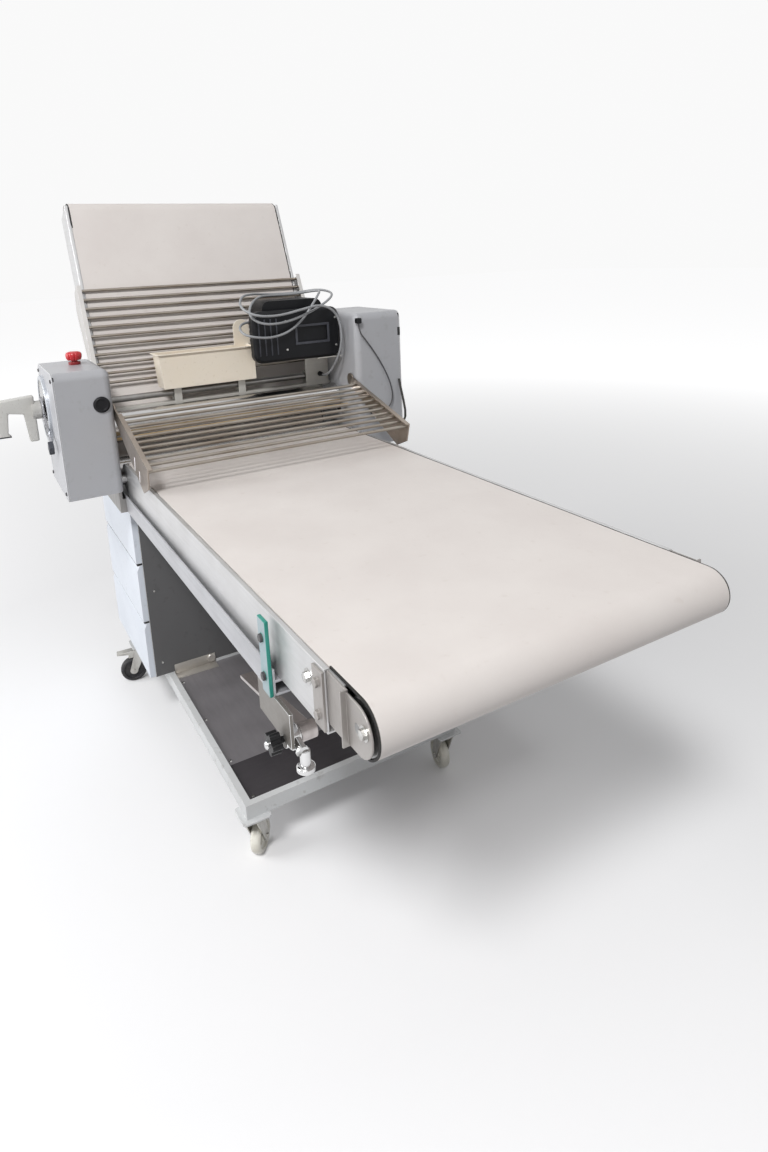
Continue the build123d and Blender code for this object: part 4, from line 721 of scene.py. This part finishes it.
# Blanking plug: a black moulded plastic plug with a dished face and a rounded rim, pushed in to close an
# unused hole in the left housing's front.
plug_black = coated("plug_black", (20, 20, 23), (46, 46, 48), amount=0.3, scale=50, rough=0.42, shine=0.22)
plug_low, plug_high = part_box("blanking_plug")
plug = bmesh.new()
turned(plug, [(0, 0), (0.0200, 0), (0.0200, 0.0022), (0.0190, 0.0042), (0.0168, 0.0056), (0.0140, 0.0060),
              (0.0124, 0.0052), (0.0118, 0.0042), (0, 0.0044)],
       (plug_low.x, (plug_low.y + plug_high.y) / 2, (plug_low.z + plug_high.z) / 2), (1, 0, 0), steps=48)
stands_for(piece("blanking_plug_turned", plug, [plug_black]), "blanking_plug")

# Latch strap: a flat strip of dark rubber that bows out at the front edge of the right cover, with its ends
# just clear of the housing's front, and above it a slot drawn as a black box of painted shade.
strap_rubber = coated("strap_rubber", (44, 43, 42), (88, 84, 78), amount=0.4, scale=30, rough=0.55)
strap_line = [(0.1405, 0.486, 0.934), (0.1480, 0.487, 0.906), (0.1560, 0.490, 0.870), (0.1600, 0.493, 0.838),
              (0.1590, 0.493, 0.818), (0.1540, 0.491, 0.806), (0.1470, 0.487, 0.798), (0.1405, 0.484, 0.794)]
half_wide, half_thick = 0.0035, 0.0011
strap = bmesh.new()
sections = []
for near, place, far in zip(strap_line[:1] + strap_line, strap_line, strap_line[1:] + strap_line[-1:]):
    run = (Vector(far) - Vector(near)).normalized()
    flat = run.cross(Vector((0, 1, 0))).normalized()
    sections.append([strap.verts.new(Vector(place) + Vector((0, a * half_wide, 0)) + flat * b * half_thick)
                     for a, b in ((-1, -1), (1, -1), (1, 1), (-1, 1))])
for low, high in zip(sections, sections[1:]):
    for step in range(4):
        strap.faces.new((low[step], low[(step + 1) % 4], high[(step + 1) % 4], high[step]))
strap.faces.new(sections[0])
strap.faces.new(reversed(sections[-1]))
fitted("latch_strap", strap, [strap_rubber], "stand", smooth=50)
# A black box of painted shade stands for the slot's dark inside.
cover_slot_shade = box_form((0.1330, 0.4880, 1.066), (0.1388, 0.4969, 1.090), 0.0006)
fitted("cover_slot_shade", cover_slot_shade, [seal_black_and_slot_shade], "stand")

# Bridge and scraper: a light grey channel with a rounded top that ties the housings together over the gap
# shaft, and a worn beige plastic strip that scrapes the upper roller.
bridge_paint = drawn("bridge_paint", (206, 204, 198), (150, 145, 136), (50, 3, 50), amount=0.5, rough=0.38,
                     metallic=0.3)
scraper_beige = coated("scraper_beige", (196, 168, 122), (140, 112, 74), amount=0.6, scale=14, rough=0.5)
eased("bridge_cover", [bridge_paint], 0.0010, steps=3)
eased("front_scraper", [scraper_beige], 0.0015)

# Gap dial: a gloss black scale disc in a bright rim, fixed to the left cover behind the handle. Light scale
# marks run round its face.
dial_gloss = coated("dial_gloss", (20, 20, 24), (48, 48, 54), amount=0.3, scale=20, rough=0.16, spread=0.05,
                    coat=0.5)
dial_rim = drawn("dial_rim", (200, 204, 210), (150, 154, 160), (60, 60, 60), amount=0.4, rough=0.3,
                 metallic=0.6)
dial_mark = coated("dial_mark", (214, 214, 210), (150, 150, 146), amount=0.3, scale=40, rough=0.5)
gap_x, gap_z = -0.061, 0.945
dial_at = (gap_x, left_face, gap_z)
dial = bmesh.new()
turned(dial, [(0.0105, 0), (0.088, 0), (0.088, 0.0062), (0.0868, 0.0078), (0.0850, 0.0080), (0.0800, 0.0080),
              (0.0785, 0.0072)], dial_at, (0, -1, 0), steps=96, finish=1)
turned(dial, [(0.0785, 0.0072), (0.0770, 0.0060), (0.0105, 0.0060), (0.0105, 0)], dial_at, (0, -1, 0),
       steps=96)
bmesh.ops.remove_doubles(dial, verts=dial.verts[:], dist=1e-6)
stands_for(piece("gap_dial_turned", dial, [dial_gloss, dial_rim]), "gap_dial")
scale_marks, given, result, mark_keys = growth_tree(
    "scale_marks", [("Marks", "Int"), ("Ring radius", "Float"), ("Long", "Float"), ("Wide", "Float"),
                    ("Finish", "Material")])
ring = wired(scale_marks, "GeometryNodeMeshCircle", {"Vertices": given.outputs["Marks"],
                                                     "Radius": given.outputs["Ring radius"]}).outputs[0]
dash_size = xyz(scale_marks, X=given.outputs["Long"], Y=given.outputs["Wide"], Z=0.0004)
dash = wired(scale_marks, "GeometryNodeMeshCube", {"Size": dash_size}).outputs[0]
outward = wired(scale_marks, "GeometryNodeInputPosition").outputs[0]
aim = wired(scale_marks, "FunctionNodeAlignRotationToVector", {"Vector": outward}, axis="X",
            pivot_axis="Z").outputs[0]
copied(scale_marks, given, result, ring, dash, aim)
on_face = Matrix.Translation((gap_x, left_face - 0.0062, gap_z)) @ Matrix.Rotation(math.pi / 2, 4, "X")
grown("dial_scale", scale_marks, mark_keys, {"Marks": 40, "Ring radius": 0.070, "Long": 0.008, "Wide": 0.0014,
                                             "Finish": dial_mark},
      bpy.data.meshes.new("dial_scale"), "stand", placed=on_face)

# Gap stop and handle: a bright steel lever with a black stop block, clamped round the hub of a cast grey
# handle. The handle turns the cross shaft, and its outer leg ends in a flared foot with a black pad.
stop_steel = drawn("stop_steel", (204, 204, 208), (140, 140, 144), (40, 40, 40), amount=0.4, rough=0.24)
block_black = coated("block_black", (52, 54, 62), (84, 86, 92), amount=0.4, scale=40, rough=0.45)
block_from = 0.128


def on_block(face):
    """1 on the faces of the stop block, at the end of the lever, and 0 on the lever."""
    middle = face.calc_center_median()
    return 1 if math.hypot(middle.x - gap_x, middle.z - gap_z) > block_from else 0


eased("gap_stop", [stop_steel, block_black], 0.0009, pick=on_block)
handle_cast = coated("handle_cast", (198, 197, 193), (140, 134, 126), amount=0.35, scale=22, rough=0.36,
                     spread=0.08)
handle_pad = coated("handle_pad", (34, 34, 38), (70, 70, 72), amount=0.4, scale=40, rough=0.5)
hub_face = left_face - 0.0083
half_arm, pad_out, pad_top = 0.015, 0.07, 0.0572
outline = [(0.0200, -0.080), (0.0420, -0.080), (0.0480, -0.006), (0.0840, 0.0), (0.0900, -0.053),
           (0.0820, -0.062), (0.1200, -0.062), (0.1120, -0.053), (0.1120, 0.020), (0.1000, 0.034),
           (0.0200, 0.040)]
handle = bmesh.new()
for thick in (-half_arm, half_arm):
    loop = [handle.verts.new((gap_x + thick, hub_face - along, gap_z + up)) for along, up in outline]
    handle.faces.new(loop if thick > 0 else list(reversed(loop)))
handle.verts.ensure_lookup_table()
count = len(outline)
for step in range(count):
    after = (step + 1) % count
    handle.faces.new((handle.verts[step], handle.verts[after], handle.verts[count + after],
                      handle.verts[count + step]))
bmesh.ops.recalc_face_normals(handle, faces=handle.faces[:])
bmesh.ops.bevel(handle, geom=handle.edges[:], offset=0.0045, segments=4, profile=0.55, affect="EDGES",
                clamp_overlap=True)
for face in handle.faces:
    middle = face.calc_center_median()
    face.material_index = 1 if middle.z < gap_z - pad_top and middle.y < hub_face - pad_out else 0
turned(handle, [(0.0090, 0), (0.0230, 0), (0.0240, 0.0010), (0.0240, 0.0280), (0, 0.0280)],
       (gap_x, hub_face, gap_z), (0, -1, 0), steps=48)
stands_for(piece("gap_handle_cast", handle, [handle_cast, handle_pad], smooth=50), "gap_handle")

# Emergency stop: a red moulded mushroom button with grip notches, on a darker red collar screwed into the
# left housing's top.
estop_red = coated("estop_red", (196, 28, 38), (150, 20, 28), amount=0.35, scale=40, rough=0.3, coat=0.3)
estop_dark = coated("estop_dark", (130, 20, 26), (90, 14, 20), amount=0.3, scale=40, rough=0.4)
button_low, button_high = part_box("estop_button")
button_x, button_y = (button_low.x + button_high.x) / 2, (button_low.y + button_high.y) / 2
cap_low = button_high.z - 0.022
stem_low = button_low.z - cap_low
button = bmesh.new()
turned(button, [(0, stem_low), (0.008, stem_low), (0.008, 0), (0.0165, 0.0), (0.0182, 0.0025),
                (0.0196, 0.0075), (0.0200, 0.0110), (0.0199, 0.0140), (0.0188, 0.0172), (0.0160, 0.0197),
                (0.0110, 0.0213), (0.0055, 0.0219), (0, 0.0220)],
       (button_x, button_y, cap_low), (0, 0, 1), steps=96, flutes=8, flute_depth=0.0022)
stands_for(piece("estop_button_turned", button, [estop_red], smooth=50), "estop_button")
eased("estop_collar", [estop_dark], 0.001)

# Tables: aluminium channel rails with a slider bed, clamped nose plates, turned drums and an endless coated
# cotton belt whose black edge band is a sealed edge with painted shade: it runs the whole far edge, and on
# the near edge only round the nose. The front table lies flat and the shorter rear one is folded up.
rail_aluminium = drawn("rail_aluminium", (206, 206, 207), (168, 167, 165), (3, 60, 60), amount=0.45,
                       rough=0.36, metallic=0.6)
nose_metal = drawn("nose_metal", (168, 164, 161), (128, 123, 118), (30, 30, 12), amount=0.5, rough=0.38,
                   metallic=0.7)
drum_metal = drawn("drum_metal", (160, 160, 160), (110, 108, 106), (60, 4, 60), amount=0.4, rough=0.35)
# Black for the belt's sealed edge, also used as painted shade along the far edge.
belt_seal_and_shade = coated("belt_seal_and_shade", (24, 23, 23), (60, 56, 52), amount=0.4, scale=60, rough=0.7)
belt_cloth = bpy.data.materials.new("belt_cloth")
belt_cloth.use_nodes = True
wires = belt_cloth.node_tree
cloth = wires.nodes["Principled BSDF"]
laid = wired(wires, "ShaderNodeUVMap", uv_map="weave").outputs[0]
warp, weft = (wired(wires, "ShaderNodeTexWave", {"Vector": laid, "Scale": 300.0, "Distortion": 0.4},
                    bands_direction=direction).outputs[1] for direction in ("X", "Y"))
weave = maths(wires, "MULTIPLY", warp, weft)
flour = noise(wires, laid, 5.0, 6.0, 0.6)
spots = noise(wires, laid, 46.0, 3.0)
bare = blended(wires, ranged(wires, flour, 0.35, 0.7), (*tone(218, 211, 207), 1), (*tone(225, 219, 215), 1))
stained = blended(wires, ranged(wires, spots, 0.64, 0.80, 0.0, 0.35), bare, (*tone(202, 192, 184), 1))
wires.links.new(stained, cloth.inputs["Base Color"])
wires.links.new(ranged(wires, flour, 0.3, 0.7, 0.50, 0.66), cloth.inputs["Roughness"])
threads = wired(wires, "ShaderNodeBump", {"Height": weave, "Strength": 0.5, "Distance": 0.0002}).outputs[0]
wires.links.new(threads, cloth.inputs["Normal"])
fold_degrees = 68
fold = math.radians(fold_degrees)
hinge_x, hinge_z = 0.09, 0.76
tables = {"front": (Vector((hinge_x, 0, hinge_z)), Vector((1, 0, 0)), Vector((0, 0, 1)), 1.254),
          "rear": (Vector((-hinge_x, 0, hinge_z)), Vector((-math.cos(fold), 0, math.sin(fold))),
                   Vector((math.sin(fold), 0, math.cos(fold))), 0.737)}
belt_half, belt_radius, belt_thick, seal_and_shade_band, ripple_high = 0.320, 0.040, 0.003, 0.0024, 0.0002
run_steps, arc_steps, wide_steps, bare_steps = 60, 24, 8, 4
inside = belt_half - seal_and_shade_band
between = [-inside + 2 * inside * step / wide_steps for step in range(wide_steps + 1)]
widths = [-belt_half, *between, belt_half]
last_strip = len(widths) - 2
for table, (hinge, along, up, length) in tables.items():
    eased(table + "_frame", [rail_aluminium], 0.0008)
    eased(table + "_nose_plates", [nose_metal], 0.0007)
    for drum in ("_drive_roller", "_nose_roller"):
        eased(table + drum, [drum_metal], 0.0008)
    turns = [math.pi * step / arc_steps for step in range(arc_steps)]
    stations = [(hinge + along * length * step / run_steps, up) for step in range(run_steps)]
    stations += [(hinge + along * length, up * math.cos(turn) + along * math.sin(turn)) for turn in turns]
    stations += [(hinge + along * length * (1 - step / run_steps), -up) for step in range(run_steps)]
    stations += [(hinge, -up * math.cos(turn) - along * math.sin(turn)) for turn in turns]
    nose_from, nose_to = run_steps - bare_steps, run_steps + arc_steps + bare_steps
    loop = bmesh.new()
    laid_out = loop.loops.layers.uv.new("weave")
    rings, travel, last = [], [], None
    for number, (centre, out) in enumerate(stations):
        face_at = centre + out * belt_radius
        travel.append(0 if last is None else travel[-1] + (face_at - last).length)
        last = face_at
        ripple = ripple_high * math.sin(travel[-1] * 19) if number < run_steps else 0
        outer = [loop.verts.new(face_at + Vector((0, y, 0)) + out * ripple * math.cos(y * 9)) for y in widths]
        inner = [loop.verts.new(face_at - out * belt_thick + Vector((0, y, 0))) for y in widths]
        rings.append((outer, inner))
    travel.append(travel[-1] + (stations[0][0] + stations[0][1] * belt_radius - last).length)
    for number in range(len(rings)):
        (outer, inner), (next_outer, next_inner) = rings[number], rings[(number + 1) % len(rings)]
        bare_edge = nose_from <= number < nose_to
        for step in range(last_strip + 1):
            for row, next_row in ((outer, next_outer), (inner, next_inner)):
                face = loop.faces.new((row[step], row[step + 1], next_row[step + 1], next_row[step]))
                # Black edge band: the sealed edge, with painted shade along the far edge and round the nose.
                face.material_index = 1 if step == last_strip or (step == 0 and bare_edge) else 0
                for corner, (s, w) in zip(face.loops, ((0, 0), (0, 1), (1, 1), (1, 0))):
                    corner[laid_out].uv = (travel[number + s], widths[step + w])
        for end in (0, -1):
            face = loop.faces.new((outer[end], next_outer[end], next_inner[end], inner[end]))
            face.material_index = 1 if end or bare_edge else 0
    belt = stands_for(piece(table + "_belt_cloth", loop, [belt_cloth, belt_seal_and_shade], smooth=40), table + "_belt")
bolts("front_table_bolts", "front_table", screw_bright, 0.0075,
      [((1.213, side * 0.330, 0.765), (0, side, 0)) for side in (-1, 1)], washer=0.011)
bolts("front_nose_bolts", "front_table", screw_bright, 0.0070,
      [((1.362, side * 0.327, 0.766), (0, side, 0)) for side in (-1, 1)], washer=0.010)

# Guards: folded steel side plates on pivot pins, with a row of drawn steel rods between them, worn brown by
# dough. The front plate on the operator's side has two slots for the lifting catch, drawn as pale patches of
# painted light in place of the openings.
guard_steel = drawn("guard_steel", (172, 162, 152), (120, 106, 94), (14, 40, 14), amount=0.6, rough=0.36)
guard_bright = drawn("guard_bright", (206, 204, 202), (160, 154, 148), (14, 40, 14), amount=0.45, rough=0.36,
                     metallic=0.7)
rod_brown = drawn("rod_brown", (168, 162, 154), (116, 100, 82), (90, 4, 90), amount=0.7, rough=0.34,
                  spread=0.1)
slot_painted_light = coated("slot_painted_light", (224, 221, 224), (168, 162, 158), amount=0.4, scale=40, rough=0.4)
guard_slope, guard_ratio = 16, 1.2
guard_down = math.radians(guard_slope)
guard_up = math.radians(fold_degrees * guard_ratio - guard_slope)
pivot_x, pivot_z = 0.1, 0.945
guards = {"front": (Vector((pivot_x, 0, pivot_z)), Vector((math.cos(guard_down), 0, -math.sin(guard_down)))),
          "rear": (Vector((-pivot_x, 0, pivot_z)), Vector((-math.cos(guard_up), 0, math.sin(guard_up))))}
eased("front_guard_frame", [guard_steel], 0.0009)
eased("rear_guard_frame", [guard_bright], 0.0009)
rod_row, given, result, rod_keys = growth_tree(
    "rod_row", [("Rods", "Int"), ("First", "Float"), ("Pitch", "Float"), ("Radius", "Float"),
                ("Length", "Float"), ("Wander", "Float"), ("Finish", "Material")])
line = wired(rod_row, "GeometryNodeMeshLine",
             {"Count": given.outputs["Rods"], "Start Location": xyz(rod_row, X=given.outputs["First"]),
              "Offset": xyz(rod_row, X=given.outputs["Pitch"])}).outputs[0]
rod = wired(rod_row, "GeometryNodeMeshCylinder", {"Vertices": 24, "Side Segments": 8,
                                                  "Radius": given.outputs["Radius"],
                                                  "Depth": given.outputs["Length"]}).outputs[0]
rod = wired(rod_row, "GeometryNodeTransform", {"Geometry": rod, "Rotation": (math.pi / 2, 0, 0)}).outputs[0]
most = given.outputs["Wander"]
least = maths(rod_row, "MULTIPLY", most, -1.0)
lean = wired(rod_row, "FunctionNodeRandomValue", {"Min": xyz(rod_row, X=least, Z=least),
                                                  "Max": xyz(rod_row, X=most, Z=most), "Seed": 3},
             data_type="FLOAT_VECTOR").outputs[0]
lean = wired(rod_row, "FunctionNodeEulerToRotation", {"Euler": lean}).outputs[0]
copied(rod_row, given, result, line, rod, lean)
across = Vector((0, 1, 0))
for table, (pivot, along) in guards.items():
    in_guard = Matrix.Translation(pivot) @ Matrix((along, across, along.cross(across))).transposed().to_4x4()
    row = grown(table + "_guard_rod_row", rod_row, rod_keys,
                {"Rods": 11, "First": 0.044, "Pitch": 0.0276, "Radius": 0.004, "Length": 0.678,
                 "Wander": 0.0012, "Finish": rod_brown},
                bpy.data.meshes.new(table + "_rods"), table + "_guard", placed=in_guard)
    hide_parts(table + "_guard_rods")
    if table == "front":
        # Pale patches of painted light stand for the two catch slots.
        catch = box_form((0.2105, -0.3435, -0.055), (0.2175, -0.3425, -0.020), 0.0002)
        box_form((0.2545, -0.3435, -0.062), (0.2610, -0.3425, -0.034), 0.0002, form=catch)
        bmesh.ops.transform(catch, matrix=in_guard, verts=catch.verts[:])
        fitted("guard_catch_slots", catch, [slot_painted_light], "front_guard")

# Flour tray: a folded cream-painted sheet tray that hangs on the bridge, with a turned-out rim, one leaning
# end and a hanging tab.
tray_cream = coated("tray_cream", (240, 230, 214), (198, 180, 150), amount=0.25, scale=9, rough=0.42,
                    spread=0.08)
# Lighter finish for the tray's broken edges: edge wear and painted highlight.
tray_edge_wear_and_highlight = coated("tray_edge_wear_and_highlight", (244, 237, 224), (204, 188, 160), amount=0.35, scale=26, rough=0.4)
eased("flour_tray", [tray_cream, tray_edge_wear_and_highlight], 0.0009)

# Foot switch: a black moulded base with a framed recess in its underside, a toe hood and a ribbed treadle,
# put away on the bridge with its underside to the front. Its lead leaves through a tapered gland.
switch_black = coated("switch_black", (15, 16, 19), (38, 39, 43), amount=0.3, scale=14, rough=0.42,
                      spread=0.08, grain=1400, bump=0.00008, shine=0.22)
# Lighter grey, used for the treadle and, as painted highlight, for the recess frame and ribs.
switch_grey_and_highlight = coated("switch_grey_and_highlight", (50, 52, 60), (86, 88, 94), amount=0.4, scale=30, rough=0.4)
eased("foot_switch_base", [switch_black], 0.0020, steps=3)
eased("foot_switch_hood", [switch_black], 0.0016, steps=3)
eased("treadle", [switch_grey_and_highlight], 0.0012)
switch_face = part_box("foot_switch_base")[1].x
recess_y, recess_z, half_long, half_high, rim = 0.2487, 1.086, 0.048, 0.022, 0.007
rib_wide, rib_half = 0.004, 0.052
bars = [((-half_long - rim, half_high), (half_long + rim, half_high + rim)),
        ((-half_long - rim, -half_high - rim), (half_long + rim, -half_high)),
        ((-half_long - rim, -half_high), (-half_long, half_high)),
        ((half_long, -half_high), (half_long + rim, half_high))]
bars += [((rib, -rib_half), (rib + rib_wide, rib_half)) for rib in (-0.168, -0.150, -0.132, -0.114)]
# The recess frame and ribs are lighter than the black base: painted highlight on their lit edges.
switch_frame = bmesh.new()
for low, high in bars:
    box_form((switch_face - 0.001, recess_y + low[0], recess_z + low[1]),
             (switch_face + 0.0022, recess_y + high[0], recess_z + high[1]), 0.0007, form=switch_frame)
fitted("switch_frame", switch_frame, [switch_grey_and_highlight], "stand")
screws("switch_screws", "stand", screw_bright, 0.0038,
       [((switch_face, y, z), (1, 0, 0)) for y in (0.166, 0.325) for z in (1.128, 1.046)])
eased("cord_glands", [switch_black], 0.0008)
